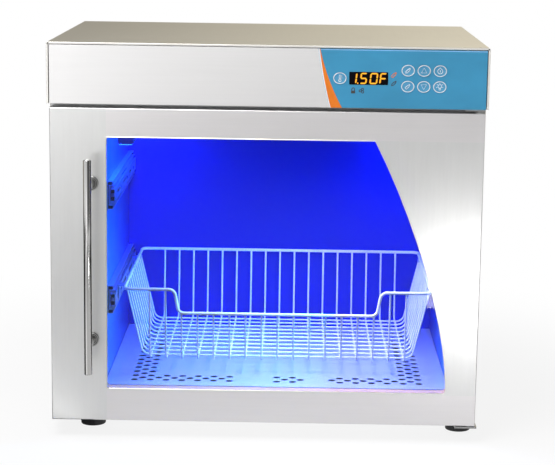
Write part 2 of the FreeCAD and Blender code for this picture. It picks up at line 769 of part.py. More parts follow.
def handle_posts():
    """Two standoffs, each coped to the bar and drilled for its screw."""
    bar = plain_handle_bar()
    posts = []
    for z in POST_HEIGHTS:
        stem = rod(6, (HANDLE_X, -HANDLE_REACH, z), HANDLE_REACH, ALONG_Y)
        rose = rod(ROSE_RADIUS, (HANDLE_X, -5, z), 5, ALONG_Y)
        rose = rose.makeFillet(1, [edge for edge in rose.Edges if edge.BoundBox.YMax < -4.9])
        drilled = rod(2.5, (HANDLE_X, -22, z), 22, ALONG_Y)
        posts.append(fuse([stem, rose]).cut([bar, drilled]))
    return Part.makeCompound(posts)


def handle_screws():
    screws = []
    for z in POST_HEIGHTS:
        head = rod(5, (HANDLE_X, SHEET, z), 4, ALONG_Y)
        shank = rod(2.5, (HANDLE_X, -20, z), 20 + SHEET, ALONG_Y)
        screws.append(fuse([head, shank]))
    return Part.makeCompound(screws)


def hinge_brackets():
    """Two plates with riveted pins: one under the casing, one under the head."""
    low = BODY_BOTTOM - BRACKET_SHEET
    lower_plate = block(296, 330, 3, 110, low, BODY_BOTTOM)
    foot_hole = rod(3.1, (FOOT_X[1], FOOT_DEPTHS[0], low - 1), 5, ALONG_Z)
    lower_pin = rod(PIN_RADIUS, (HINGE_X, HINGE_DEPTH, low), 17, ALONG_Z)
    lower = fuse([lower_plate.cut(foot_hole), lower_pin])
    upper_plate = block(296, 326, 3, FRAME_FACE, HEAD_BOTTOM - BRACKET_SHEET, HEAD_BOTTOM)
    upper_pin = rod(PIN_RADIUS, (HINGE_X, HINGE_DEPTH, HEAD_BOTTOM - 18), 17, ALONG_Z)
    return Part.makeCompound([lower, fuse([upper_plate, upper_pin])])


def hinge_bushes():
    """Flanged plastic bushes pressed into the door, running on the pins."""
    bushes = []
    bore = PIN_RADIUS + PIN_CLEARANCE
    for sleeve_low, flange_low in ((DOOR_BOTTOM, DOOR_BOTTOM - 1.6), (DOOR_TOP - 16, DOOR_TOP)):
        sleeve = rod(BUSH_RADIUS, (HINGE_X, HINGE_DEPTH, sleeve_low), 16, ALONG_Z)
        flange = rod(8, (HINGE_X, HINGE_DEPTH, flange_low), 1.6, ALONG_Z)
        hole = rod(bore, (HINGE_X, HINGE_DEPTH, sleeve_low - 5), 30, ALONG_Z)
        bushes.append(fuse([sleeve, flange]).cut(hole))
    return Part.makeCompound(bushes)


def strike_plate():
    return block(CATCH_X - 11, CATCH_X + 11, DOOR_THICK, DOOR_THICK + 1, CATCH_Z - 16, CATCH_Z + 16)


def magnetic_catch():
    x0 = CATCH_X - 13
    x1 = CATCH_X + 13
    body = block(x0, x1, DOOR_THICK + 1.5, FRAME_FACE, CATCH_Z - 20, CATCH_Z + 20)
    groove = block(x0 - 1, x1 + 1, DOOR_THICK + 1, DOOR_THICK + 2.5, CATCH_Z - 2, CATCH_Z + 2)
    return body.cut(groove)


# The controls


def control_overlay():
    """The printed film on the right of the head, its left edge a long arc."""
    low = HEAD_BOTTOM
    high = BODY_TOP - HEM - HEAD_GAP
    top, middle, bottom = (Vector(x, 0, z) for x, z in OVERLAY_EDGE)
    top.z = high
    right = HALF - HEM - HEAD_GAP - 0.2
    edges = [
        Part.Arc(top, middle, bottom).toShape(),
        Part.LineSegment(bottom, Vector(right, 0, low)).toShape(),
        Part.LineSegment(Vector(right, 0, low), Vector(right, 0, high)).toShape(),
        Part.LineSegment(Vector(right, 0, high), top).toShape(),
    ]
    film = Part.Face(Part.Wire(edges)).extrude(Vector(0, PANEL_FACE, 0))
    return film.cut(control_openings(-1, PANEL_FACE + 1))


def display_window():
    x0, x1, z0, z1 = DISPLAY
    return block(x0 + 0.1, x1 - 0.1, 0, 2.4, z0 + 0.1, z1 - 0.1)


def display_module():
    """The numeric display behind the dark window."""
    x0, x1, z0, z1 = DISPLAY
    return block(x0 + 2, x1 - 2, 2.6, BOARD_DEPTH, z0 - 1, z1 + 1)


def control_board():
    """The circuit board behind the keys, with one switch for each."""
    x0, x1, z0, z1 = BOARD
    back = BOARD_DEPTH + BOARD_SHEET
    pieces = [block(x0, x1, BOARD_DEPTH, back, z0, z1)]
    for x, z in KEYS.values():
        pieces.append(block(x - 3, x + 3, BOARD_DEPTH - 4, BOARD_DEPTH, z - 3, z + 3))
        pieces.append(rod(1.75, (x, BOARD_DEPTH - 6, z), 2, ALONG_Y))
    post_start = PANEL_FACE + SHEET
    for x in (x0 + BOARD_POST_INSET, x1 - BOARD_POST_INSET):
        for z in (z0 + BOARD_POST_INSET, z1 - BOARD_POST_INSET):
            pieces.append(rod(3, (x, post_start, z), BOARD_DEPTH - post_start, ALONG_Y))
    x0, x1, z0, z1 = CHIP
    pieces.append(block(x0, x1, back, back + 2.4, z0, z1))
    return fuse(pieces)


def key_cap(x, z):
    """A key: its face in the overlay, a lip behind the panel and a stem to its switch."""
    lip_back = PANEL_FACE + SHEET + 0.4
    face = ellipse_prism(x, z, KEY_HALF_WIDTH - KEY_GAP, KEY_HALF_HEIGHT - KEY_GAP, -0.8, lip_back)
    lip = ellipse_prism(x, z, KEY_HALF_WIDTH + KEY_LIP, KEY_HALF_HEIGHT + KEY_LIP, lip_back, lip_back + 0.8)
    stem_start = lip_back + 0.8
    stem = rod(2.5, (x, stem_start, z), BOARD_DEPTH - 6.6 - stem_start, ALONG_Y)
    return fuse([face, lip, stem])


def power_board():
    """The supply and relay board on the electronics tray."""
    z = HEAD_BOTTOM + SHEET
    pieces = [block(-230, -20, 110, 260, z + 8, z + 9.6)]
    for x in (-224, -26):
        for y in (116, 254):
            pieces.append(rod(3, (x, y, z), 8, ALONG_Z))
    for x0, x1, y0, y1, height in (
        (-215, -160, 130, 185, 45), (-145, -115, 130, 160, 22), (-105, -75, 130, 160, 22),
        (-145, -60, 200, 212, 18), (-200, -170, 205, 235, 26),
    ):
        pieces.append(block(x0, x1, y0, y1, z + 9.6, z + 9.6 + height))
    return fuse(pieces)


def power_inlet_gland():
    """The gland in the rear sheet that clamps the mains lead."""
    inside = 8.0
    barrel = rod(8.9, (GLAND_X, BODY_DEPTH - inside, GLAND_Z), inside, ALONG_Y)
    flange = rod(13, (GLAND_X, BODY_DEPTH, GLAND_Z), 4, ALONG_Y)
    nose = Part.makeCone(10.5, 8, GLAND_REACH - 4, Vector(GLAND_X, BODY_DEPTH + 4, GLAND_Z), ALONG_Y)
    bore = rod(GLAND_BORE, (GLAND_X, BODY_DEPTH - 20, GLAND_Z), 50, ALONG_Y)
    return fuse([barrel, flange, nose]).cut(bore)


# Feet and fixings


def foot_places():
    """Each foot's X, depth and height; the one under the lower hinge plate is shorter."""
    for x in FOOT_X:
        for y in FOOT_DEPTHS:
            under_plate = x > 0 and y < 100
            yield x, y, BODY_BOTTOM - (BRACKET_SHEET if under_plate else 0)


def rubber_feet():
    feet = []
    for x, y, height in foot_places():
        cone = Part.makeCone(FOOT_RADIUS - 1.5, FOOT_RADIUS, height, Vector(x, y, 0), ALONG_Z)
        recess = rod(7.5, (x, y, -1), 13, ALONG_Z)
        hole = rod(3.1, (x, y, 0), height + 1, ALONG_Z)
        feet.append(cone.cut([recess, hole]))
    return Part.makeCompound(feet)


def foot_screws():
    screws = []
    for x, y, _height in foot_places():
        head = rod(6, (x, y, 7.5), 4.5, ALONG_Z)
        shank = rod(3, (x, y, 12), 22, ALONG_Z)
        screws.append(fuse([head, shank]))
    return Part.makeCompound(screws)


def casing_screws():
    """Pan heads round the rear sheet, and two flush screws through the top."""
    screws = []
    for x, z in REAR_SCREWS:
        head = rod(3.5, (x, BODY_DEPTH, z), 2, ALONG_Y)
        rounded = [edge for edge in head.Edges if edge.BoundBox.YMin > BODY_DEPTH + 1.9]
        screws.append(head.makeFillet(0.9, rounded))
    for x, y in TOP_SCREWS:
        head = rod(3.0, (x, y, BODY_TOP - SHEET), SHEET - 0.1, ALONG_Z)
        shank = rod(1.5, (x, y, BODY_TOP - 12), 12 - SHEET, ALONG_Z)
        screws.append(fuse([head, shank]))
    return Part.makeCompound(screws)


def save(node, shape):
    placed = shape.translated(Vector(0, FRONT_Y, 0))
    solids = placed.Solids
    faulty = [solid for solid in solids if not solid.isValid() or solid.Volume <= 0]
    if faulty or not solids:
        print("check", node, len(solids), "solids,", len(faulty), "faulty")
    exported = solids[0] if len(solids) == 1 else Part.makeCompound(solids)
    exported.exportStep("parts/%s.step" % node)


def main():
    rim = basket_rim()
    pieces = {
        "outer_wrap": outer_wrap(),
        "head_front_panel": head_front_panel(),
        "front_frame": front_frame(),
        "back_panel": back_panel(),
        "base_pan": base_pan(),
        "electronics_tray": electronics_tray(),
        "chamber_liner": chamber_liner(),
        "chamber_insulation": chamber_insulation(),
        "heating_cable": heating_cable(),
        "floor_plate": floor_plate(),
        "lamp_housings": lamp_housings(),
        "lamp_lenses": lamp_lenses(),
        "temperature_probe": temperature_probe(),
        "limit_thermostat": limit_thermostat(),
        "upper_slide_outer_members": both_sides([outer_member(UPPER_SLIDE_Z)]),
        "upper_slide_middle_members": both_sides([middle_member(UPPER_SLIDE_Z)]),
        "upper_slide_inner_members": both_sides([inner_member(UPPER_SLIDE_Z)]),
        "upper_slide_ball_cages": both_sides(
            ball_strips(UPPER_SLIDE_Z, "outer") + ball_strips(UPPER_SLIDE_Z, "inner")
        ),
        "lower_slide_outer_members": both_sides([outer_member(LOWER_SLIDE_Z)]),
        "lower_slide_middle_members": both_sides([middle_member(LOWER_SLIDE_Z)]),
        "lower_slide_inner_members": both_sides([inner_member(LOWER_SLIDE_Z)]),
        "lower_slide_outer_cages": both_sides(ball_strips(LOWER_SLIDE_Z, "outer")),
        "lower_slide_inner_cages": both_sides(ball_strips(LOWER_SLIDE_Z, "inner")),
        "slide_end_stops": slide_end_stops(),
        "basket_rim": rim,
        "basket_long_wires": basket_long_wires(rim),
        "basket_cross_wires": basket_cross_wires(rim),
        "basket_brackets": basket_brackets(),
        "door_outer_skin": door_outer_skin(),
        "door_inner_pan": door_inner_pan(),
        "door_core": door_core(),
        "window_pane_outer": window_pane_outer(),
        "window_pane_inner": window_pane_inner(),
        "pane_spacer": pane_spacer(),
        "window_seals": window_seals(),
        "door_gasket": door_gasket(),
        "handle_bar": handle_bar(),
        "handle_posts": handle_posts(),
        "handle_screws": handle_screws(),
        "hinge_blocks": hinge_blocks(),
        "hinge_bushes": hinge_bushes(),
        "hinge_brackets": hinge_brackets(),
        "strike_plate": strike_plate(),
        "magnetic_catch": magnetic_catch(),
        "control_overlay": control_overlay(),
        "display_window": display_window(),
        "display_module": display_module(),
        "control_board": control_board(),
        "power_board": power_board(),
        "power_inlet_gland": power_inlet_gland(),
        "rubber_feet": rubber_feet(),
        "foot_screws": foot_screws(),
        "casing_screws": casing_screws(),
    }
    for name, (x, z) in KEYS.items():
        pieces[name] = key_cap(x, z)
    for node, shape in pieces.items():
        save(node, shape)


main()
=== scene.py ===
"""Looks of the countertop fluid warming cabinet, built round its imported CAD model.

Places are written in millimetres: across the cabinet, behind the plane of the door's face, and up.
The finishes and the studio at the end are in metres.
"""

import json
import math

import bmesh
import bpy
from mathutils import Matrix, Vector

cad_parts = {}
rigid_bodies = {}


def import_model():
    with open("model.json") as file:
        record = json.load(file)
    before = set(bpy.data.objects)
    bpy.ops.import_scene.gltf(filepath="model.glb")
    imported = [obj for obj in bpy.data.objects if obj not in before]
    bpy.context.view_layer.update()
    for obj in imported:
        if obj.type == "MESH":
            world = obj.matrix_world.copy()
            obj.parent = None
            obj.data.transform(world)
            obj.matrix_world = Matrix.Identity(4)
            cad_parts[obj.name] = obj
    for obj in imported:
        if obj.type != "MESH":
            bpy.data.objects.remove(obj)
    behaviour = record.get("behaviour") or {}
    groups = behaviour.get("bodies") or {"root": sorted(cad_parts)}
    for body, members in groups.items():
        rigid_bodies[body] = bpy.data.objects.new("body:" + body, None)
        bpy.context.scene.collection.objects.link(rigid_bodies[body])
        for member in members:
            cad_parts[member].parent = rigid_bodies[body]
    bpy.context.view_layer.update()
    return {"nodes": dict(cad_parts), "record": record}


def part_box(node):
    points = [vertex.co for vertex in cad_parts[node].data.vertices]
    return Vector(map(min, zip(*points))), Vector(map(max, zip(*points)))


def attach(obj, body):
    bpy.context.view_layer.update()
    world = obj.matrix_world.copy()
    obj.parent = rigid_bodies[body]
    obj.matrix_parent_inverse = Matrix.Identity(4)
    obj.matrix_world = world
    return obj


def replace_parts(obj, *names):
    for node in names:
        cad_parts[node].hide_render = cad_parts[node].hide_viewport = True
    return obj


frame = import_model()
nodes = frame["nodes"]
SLOTS = {part["node"]: part["material_slot"] for part in frame["record"]["subparts"]}

MM = 0.001
DOOR_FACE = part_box("door_outer_skin")[0][1] / MM


def at(x, depth, z):
    """A place in millimetres, in the frame's metres."""
    return Vector((x, DOOR_FACE + depth, z)) * MM


def extent(node):
    """A node's box in millimetres: lowest and highest across, in depth and up."""
    sides = zip(*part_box(node), (0, DOOR_FACE, 0))
    return [(low / MM - zero, high / MM - zero) for low, high, zero in sides]


def middle(span):
    return (span[0] + span[1]) / 2


def body_of(node):
    """The name of the body that a node rides on."""
    return nodes[node].parent.name.removeprefix("body:")


# Sizes and places in millimetres, with a few counts and one slope

INK = 0.08
STRIPE_STEPS = 14
SIGN_LINE = 0.7
KEY_SIGN_LINE = 0.55
KEY_SIGN_DEPTH = -0.5
KEY_RIM_DEPTH = -0.6
KEY_RIM_WIDTH = 1.15
KEY_LIP = 0.8
FIGURE_HEIGHT = 17.3
FIGURE_SLANT = 0.11
FIGURE_BACK = 0.12
BAR_THICK = 2.6

HEM_DEPTH = 1.0
RAIL_DEPTH = 1.4
PANE_GROW = 12.0
SILL_SEAM = 3.0
SWEEP = [(163.0, 469.5), (225.0, 353.4), (279.7, 185.3), (279.7, 83.0)]
WINDOW_CORNER = 4.0
# How far a curve's handles reach to bend it round a quarter of a circle, in radii
QUARTER_REACH = 0.5523
BEAD_RADIUS = 0.75
BEAD_DEPTH = 0.35

HANDLE_POSTS = (157.0, 399.0)
ROSE_DEPTH = -5.5
ROSE_RINGS = ((7.1, 8.3), (9.3, 10.9))

UNDER_FLOOR = 2.5
RIVET_REACHES = (88.0, 190.0, 300.0)
RIVET_FACE = 12.7
LIP_FACE = 8.3
LIP_HEIGHT = 21.4
WIRE = 1.5
RIM = 2.5
WIRE_PITCH = 25.4
LONG_WIRES = 17
CROSS_WIRES = 11
DIP_HALF = 157.0
NUGGET_RADIUS = 2.3
NUGGET_DROP = 1.8

TOP_SCREW_X = 318.0
SCREW_DEPTH = 12.0
SCREW_SINK = 1.2
REAR_SCREW_HEIGHTS = (60.0, 250.0, 440.0, 596.0)
REAR_EDGE_HEIGHTS = (34.0, 600.0)
REAR_MIDDLE_X = 110.0
GLAND_PLACE = (-250.0, 560.0)
GLAND_RIBS = 16

# Edges that turn by more degrees than this stay crisp
SHARP = 35
# Vertices nearer than this are one, in metres: on new pieces, and on copies of the CAD's
WELD = 1e-7
CAD_WELD = 2e-6


# Materials

# The levels between which a noise pattern mostly stays, and a narrower span that gives it more contrast
NOISE_SPAN = (0.3, 0.7)
CRISP_SPAN = (0.35, 0.65)


class Recipe:
    """The nodes that make a finish or the room."""

    def __init__(self, owner, output):
        owner.use_nodes = True
        self.tree = owner.node_tree
        self.output = self.tree.nodes[output]

    def feed(self, target, source):
        """A socket takes another node's output, or else a plain number, vector or colour."""
        if isinstance(source, bpy.types.NodeSocket):
            self.tree.links.new(source, target)
        elif target.type == "RGBA":
            target.default_value = (*source, 1)
        else:
            target.default_value = source

    def add(self, kind, *sources, **settings):
        """A new node with its settings, whose first inputs take the sources in turn."""
        node = self.tree.nodes.new("ShaderNode" + kind)
        for name, value in settings.items():
            setattr(node, name, value)
        for target, source in zip(node.inputs, sources):
            self.feed(target, source)
        return node

    def fill(self, node, **sources):
        """The node, with the inputs of these names fed: an underscore stands for a space."""
        for name, source in sources.items():
            self.feed(node.inputs[name.replace("_", " ")], source)
        return node

    def ramp(self, value, low, high, from_low=0.0, from_high=1.0, smooth=False):
        """The value carried from one range to another."""
        mapped = self.add("MapRange", value, interpolation_type="SMOOTHSTEP" if smooth else "LINEAR")
        self.fill(mapped, From_Min=from_low, From_Max=from_high, To_Min=low, To_Max=high)
        return mapped.outputs["Result"]

    def times(self, first, second):
        return self.add("Math", first, second, operation="MULTIPLY").outputs[0]

    def blend(self, share, first, second):
        """A colour between two, by a share."""
        mix = self.add("Mix", share, data_type="RGBA")
        self.feed(mix.inputs[6], first)
        self.feed(mix.inputs[7], second)
        return mix.outputs[2]

    def show(self, shown, layers):
        """What is seen in the end: a shader, then the shaders laid over it, each by its share."""
        for share, over in layers:
            shown = self.add("MixShader", share, shown, over).outputs[0]
        self.feed(self.output.inputs["Surface"], shown)


class Finish(Recipe):
    """A material being made: its patterns hang off one Principled shader."""

    def __init__(self, name, colour, roughness, metallic=0.0):
        self.material = bpy.data.materials.new(name)
        super().__init__(self.material, "Material Output")
        self.shader = self.tree.nodes["Principled BSDF"]
        self.colour = colour
        self.roughness = roughness
        self.set(Base_Color=colour, Roughness=roughness, Metallic=metallic)

    def set(self, **sources):
        """Feed the shader's own inputs."""
        self.fill(self.shader, **sources)

    def place(self, scale=(1, 1, 1), shift=(0, 0, 0)):
        """Object coordinates, shifted and stretched."""
        where = self.add("TexCoord").outputs["Object"]
        return self.fill(self.add("Mapping", where), Location=shift, Scale=scale).outputs["Vector"]

    def along(self, axis):
        """One object coordinate alone."""
        return self.add("SeparateXYZ", self.place()).outputs[axis]

    def away(self, x, y):
        """Distance from an upright line, in metres."""
        flat = self.place((1, 1, 0), (-x, -y, 0))
        return self.add("VectorMath", flat, operation="LENGTH").outputs["Value"]

    def heading(self, x, y):
        """Direction from an upright line: 0 square left, 0.5 straight ahead, 1 square right.

        Anything over a metre ahead or behind counts as a metre.
        """
        split = self.add("SeparateXYZ", self.place(shift=(-x, -y, 0))).outputs
        ahead = self.ramp(split["Y"], 1.0, -1.0, -1.0, 1.0)
        turn = self.add("Math", split["X"], ahead, operation="ARCTAN2").outputs[0]
        return self.ramp(turn, 0.0, 1.0, -math.pi / 2, math.pi / 2)

    def noise(self, scale, stretch=(1, 1, 1), detail=2.0, roughness=0.5):
        texture = self.add("TexNoise")
        self.fill(texture, Vector=self.place(stretch), Scale=scale, Detail=detail, Roughness=roughness)
        return texture.outputs["Fac"]

    def cells(self, scale):
        return self.fill(self.add("TexVoronoi"), Vector=self.place(), Scale=scale).outputs["Distance"]

    def steps(self, value, stops):
        """A grey that follows a few stops: each is a place from 0 to 1 and its level."""
        ramp = self.add("ValToRGB", value)
        ramp.color_ramp.interpolation = "EASE"
        elements = ramp.color_ramp.elements
        elements[0].position = stops[0][0]
        elements[1].position = stops[-1][0]
        for place, _level in stops[1:-1]:
            elements.new(place)
        for element, (_place, level) in zip(elements, stops):
            element.color = (level, level, level, 1)
        return ramp.outputs["Color"]

    def mottled(self, pattern, darker, lighter, span=None):
        """The finish's colour, darker and lighter with a pattern, or with one span of its levels."""
        share = self.ramp(pattern, 0.0, 1.0, *span) if span else pattern
        return self.blend(share, shade(self.colour, darker), shade(self.colour, lighter))

    def uneven(self, pattern, spread, span=NOISE_SPAN):
        """The finish's roughness, lower and higher with a pattern."""
        return self.ramp(pattern, self.roughness - spread, self.roughness + spread, *span)

    def bumped(self, height, strength, distance):
        """The material, with fine relief by a pattern."""
        relief = self.fill(self.add("Bump"), Height=height, Strength=strength, Distance=distance)
        self.set(Normal=relief.outputs["Normal"])
        return self.material


def shade(colour, factor):
    return tuple(min(channel * factor, 1.0) for channel in colour)


def brushed(name, colour, roughness, along="X", metallic=1.0, streak=0.02):
    """Brushed steel: hair scratches along one axis, over broad streaks and faint hand marks."""
    finish = Finish(name, colour, roughness, metallic)

    def drawn_out(share):
        return tuple(share if axis == along else 1.0 for axis in "XYZ")

    scratches = finish.noise(420.0, drawn_out(0.012), 3.0, 0.6)
    streaks = finish.noise(110.0, drawn_out(0.14), 4.0, 0.6)
    fine = finish.mottled(scratches, 0.985, 1.015, CRISP_SPAN)
    broad = finish.mottled(streaks, 1 - streak, 1 + streak, NOISE_SPAN)
    marks = finish.noise(9.0, detail=5.0, roughness=0.6)
    finish.set(Base_Color=finish.blend(0.5, fine, broad), Roughness=finish.uneven(marks, 0.02))
    return finish.bumped(scratches, 0.03, 0.0002)


def polished(name, colour, roughness, grain=0.03, wear=0.3):
    """Turned or drawn bright metal, with a trace of its grain and of handling."""
    finish = Finish(name, colour, roughness, 1.0)
    marks = finish.noise(40.0, detail=5.0, roughness=0.65)
    colours = finish.mottled(marks, 1 - wear / 5, 1 + wear / 5)
    finish.set(Base_Color=colours, Roughness=finish.uneven(marks, roughness * wear))
    return finish.bumped(finish.noise(1500.0, (1, 1, 0.05)), grain, 0.00005)


def plastic(name, colour, roughness, pebble=0.1, specular=0.5):
    """Moulded plastic with a fine pebbled skin."""
    finish = Finish(name, colour, roughness)
    cloud = finish.noise(30.0, detail=3.0)
    finish.set(
        Base_Color=finish.mottled(cloud, 0.9, 1.12),
        Roughness=finish.uneven(cloud, 0.06),
        Specular_IOR_Level=specular,
    )
    return finish.bumped(finish.noise(1800.0), pebble, 0.0002)


def printed(name, colour, roughness=0.32):
    """Ink on the overlay film: flat colour broken by the film's fine satin texture."""
    finish = Finish(name, colour, roughness)
    cloud = finish.noise(14.0, (1, 1, 1.6), 3.0)
    colours = finish.mottled(cloud, 0.93, 1.06, CRISP_SPAN)
    finish.set(Base_Color=colours, Roughness=finish.uneven(cloud, 0.03))
    return finish.bumped(finish.noise(2600.0, detail=1.0), 0.05, 0.0001)


def wool(name, colour):
    """Mineral wool and board: matted fibres."""
    finish = Finish(name, colour, 0.95)
    mat = finish.noise(260.0, (1, 1, 0.25), 6.0, 0.7)
    finish.set(Base_Color=finish.mottled(mat, 0.6, 1.2))
    return finish.bumped(mat, 0.8, 0.001)


def galvanised(name, colour):
    """Zinc-coated sheet with its crystal flakes."""
    finish = Finish(name, colour, 0.5, 0.9)
    flakes = finish.cells(90.0)
    flake_span = (0.1, 0.7)
    colours = finish.mottled(flakes, 0.85, 1.12, flake_span)
    finish.set(Base_Color=colours, Roughness=finish.uneven(flakes, 0.08, flake_span))
    return finish.bumped(finish.noise(500.0), 0.06, 0.0002)


def glowing(name, colour, strength, skin=(0.8, 0.85, 0.95)):
    """Something lit from inside, under a slightly uneven cover."""
    finish = Finish(name, skin, 0.4)
    ripple = finish.noise(300.0)
    colours = finish.mottled(ripple, 0.95, 1.05)
    finish.set(Base_Color=colours, Emission_Color=colour, Emission_Strength=strength)
    return finish.bumped(ripple, 0.1, 0.0005)


def circuit(name, colour):
    """Solder mask over copper tracks."""
    finish = Finish(name, colour, 0.35)
    tracks = finish.cells(420.0)
    finish.set(Base_Color=finish.mottled(tracks, 0.8, 1.5, (0.3, 0.5)))
    return finish.bumped(tracks, 0.1, 0.0002)


def silicone(name, colour):
    """The door seal: soft, matt and dusted with wear."""
    finish = Finish(name, colour, 0.6)
    dust = finish.noise(60.0, detail=5.0, roughness=0.7)
    finish.set(Base_Color=finish.mottled(dust, 1.0, 1.5, (0.4, 0.7)))
    return finish.bumped(finish.noise(900.0), 0.15, 0.0003)


def clear_glass(name, tint, to_lamps, to_room):
    """A thin pane: lamps shine through it, and little of the room's own light does."""
    finish = Finish(name, tint, 0.0)
    finish.set(Transmission_Weight=1.0, IOR=1.45, Specular_IOR_Level=0.1)
    glass = finish.shader.outputs[0]
    ray = finish.add("LightPath").outputs

    def veil(colour):
        return finish.add("BsdfTransparent", colour).outputs[0]

    finish.show(glass, [
        (ray["Is Glossy Ray"], veil(to_room)),
        (ray["Is Transmission Ray"], glass),
        (ray["Is Diffuse Ray"], veil(to_room)),
        (ray["Is Shadow Ray"], veil(to_lamps)),
    ])
    return finish.bumped(finish.noise(7.0), 0.02, 0.001)


def chamber_steel(name, colour, painted_back_shade, painted_under_floor_shade):
    """The liner's steel, with the chamber's blue light painted into its colour: painted shade makes it
    deeper blue towards the back, and painted shadow makes it near black under the false floor.
    """
    finish = Finish(name, colour, 0.41, 0.6)
    front, back = (corner[1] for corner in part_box("chamber_liner"))
    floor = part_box("floor_plate")[1][2] - UNDER_FLOOR * MM
    rolled = finish.noise(130.0, (1, 0.1, 1), 4.0, 0.6)
    near = finish.mottled(rolled, 0.95, 1.05, NOISE_SPAN)
    # Painted shade: the painted blue light deepens from the front to the back
    lit = finish.blend(finish.ramp(finish.along("Y"), 0.0, 1.0, front, back), near, painted_back_shade)
    # Painted shadow: near black below the false floor
    above = finish.ramp(finish.along("Z"), 0.0, 1.0, floor - MM, floor)
    cloud = finish.noise(5.0, detail=3.0)
    finish.set(Base_Color=finish.blend(above, painted_under_floor_shade, lit), Roughness=finish.uneven(cloud, 0.07))
    return finish.bumped(rolled, 0.05, 0.0003)


# Finishes that new pieces take by name
# Painted light: the lighter copy of the wrap's steel, for the hem's forward faces
CASING_HEM_PAINTED_LIGHT = brushed("casing_hem_steel", (0.93, 0.91, 0.86), 0.34, "X", 0.7)
DOOR_RAIL = brushed("door_rail_steel", (0.82, 0.80, 0.80), 0.30, "X", 0.85, streak=0.015)
BEAD = polished("polished_edge", (0.96, 0.93, 0.84), 0.3, wear=0.05)
# Painted light: the blue tint of the slides, ball cages, rivets and probe stands in for the chamber's blue
# light
SLIDE = brushed("slide_steel", (0.55, 0.66, 0.85), 0.31, "Y", 0.85)
BALLS = polished("ball_cage_steel", (0.5, 0.58, 0.75), 0.25)
CHROME = polished("handle_chrome", (0.60, 0.595, 0.59), 0.17, grain=0.0, wear=0.06)
SCREW = polished("screw_steel", (0.62, 0.62, 0.63), 0.3, wear=0.05)
# Painted shade: near-black steel for the head's underside over the door and the grooves of the handle's
# roses
PAINTED_SHADE_STEEL = polished("recess_steel", (0.10, 0.10, 0.10), 0.45)
ROSE_STEEL = polished("rose_steel", (0.52, 0.52, 0.51), 0.34, wear=0.15)
COATING = plastic("basket_coating", (0.88, 0.92, 0.97), 0.3, 0.05)
BLACK = plastic("black_plastic", (0.02, 0.02, 0.022), 0.4)
KEY_BLUE = printed("key_blue", (0.08, 0.33, 0.54), 0.28)
WHITE_INK = printed("white_ink", (0.80, 0.84, 0.86))
PALE_INK = printed("pale_ink", (0.72, 0.82, 0.87))
ORANGE_INK = printed("orange_ink", (0.82, 0.20, 0.008))
DARK_INK = printed("dark_ink", (0.055, 0.045, 0.04))
# Painted highlight: the light-blue line that the overlay's rounded top edge would catch
PAINTED_EDGE_HIGHLIGHT = printed("bright_edge_ink", (0.30, 0.58, 0.92))
LENS_SIDE = glowing("lamp_lens_side", (0.02, 0.12, 1.0), 0.25, (0.05, 0.10, 0.35))
# Painted light: the housings' front ends glow dim blue, standing in for the blue light that would fall on
# them
PAINTED_LAMP_END_GLOW = glowing("lamp_end_cap", (0.002, 0.012, 0.42), 0.7, (0.03, 0.06, 0.3))
AMBER_EDGE = glowing("digit_edge", (0.95, 0.22, 0.0), 1.0, (0.02, 0.01, 0.0))
AMBER_CORE = glowing("digit_core", (1.0, 0.62, 0.02), 1.0, (0.02, 0.01, 0.0))

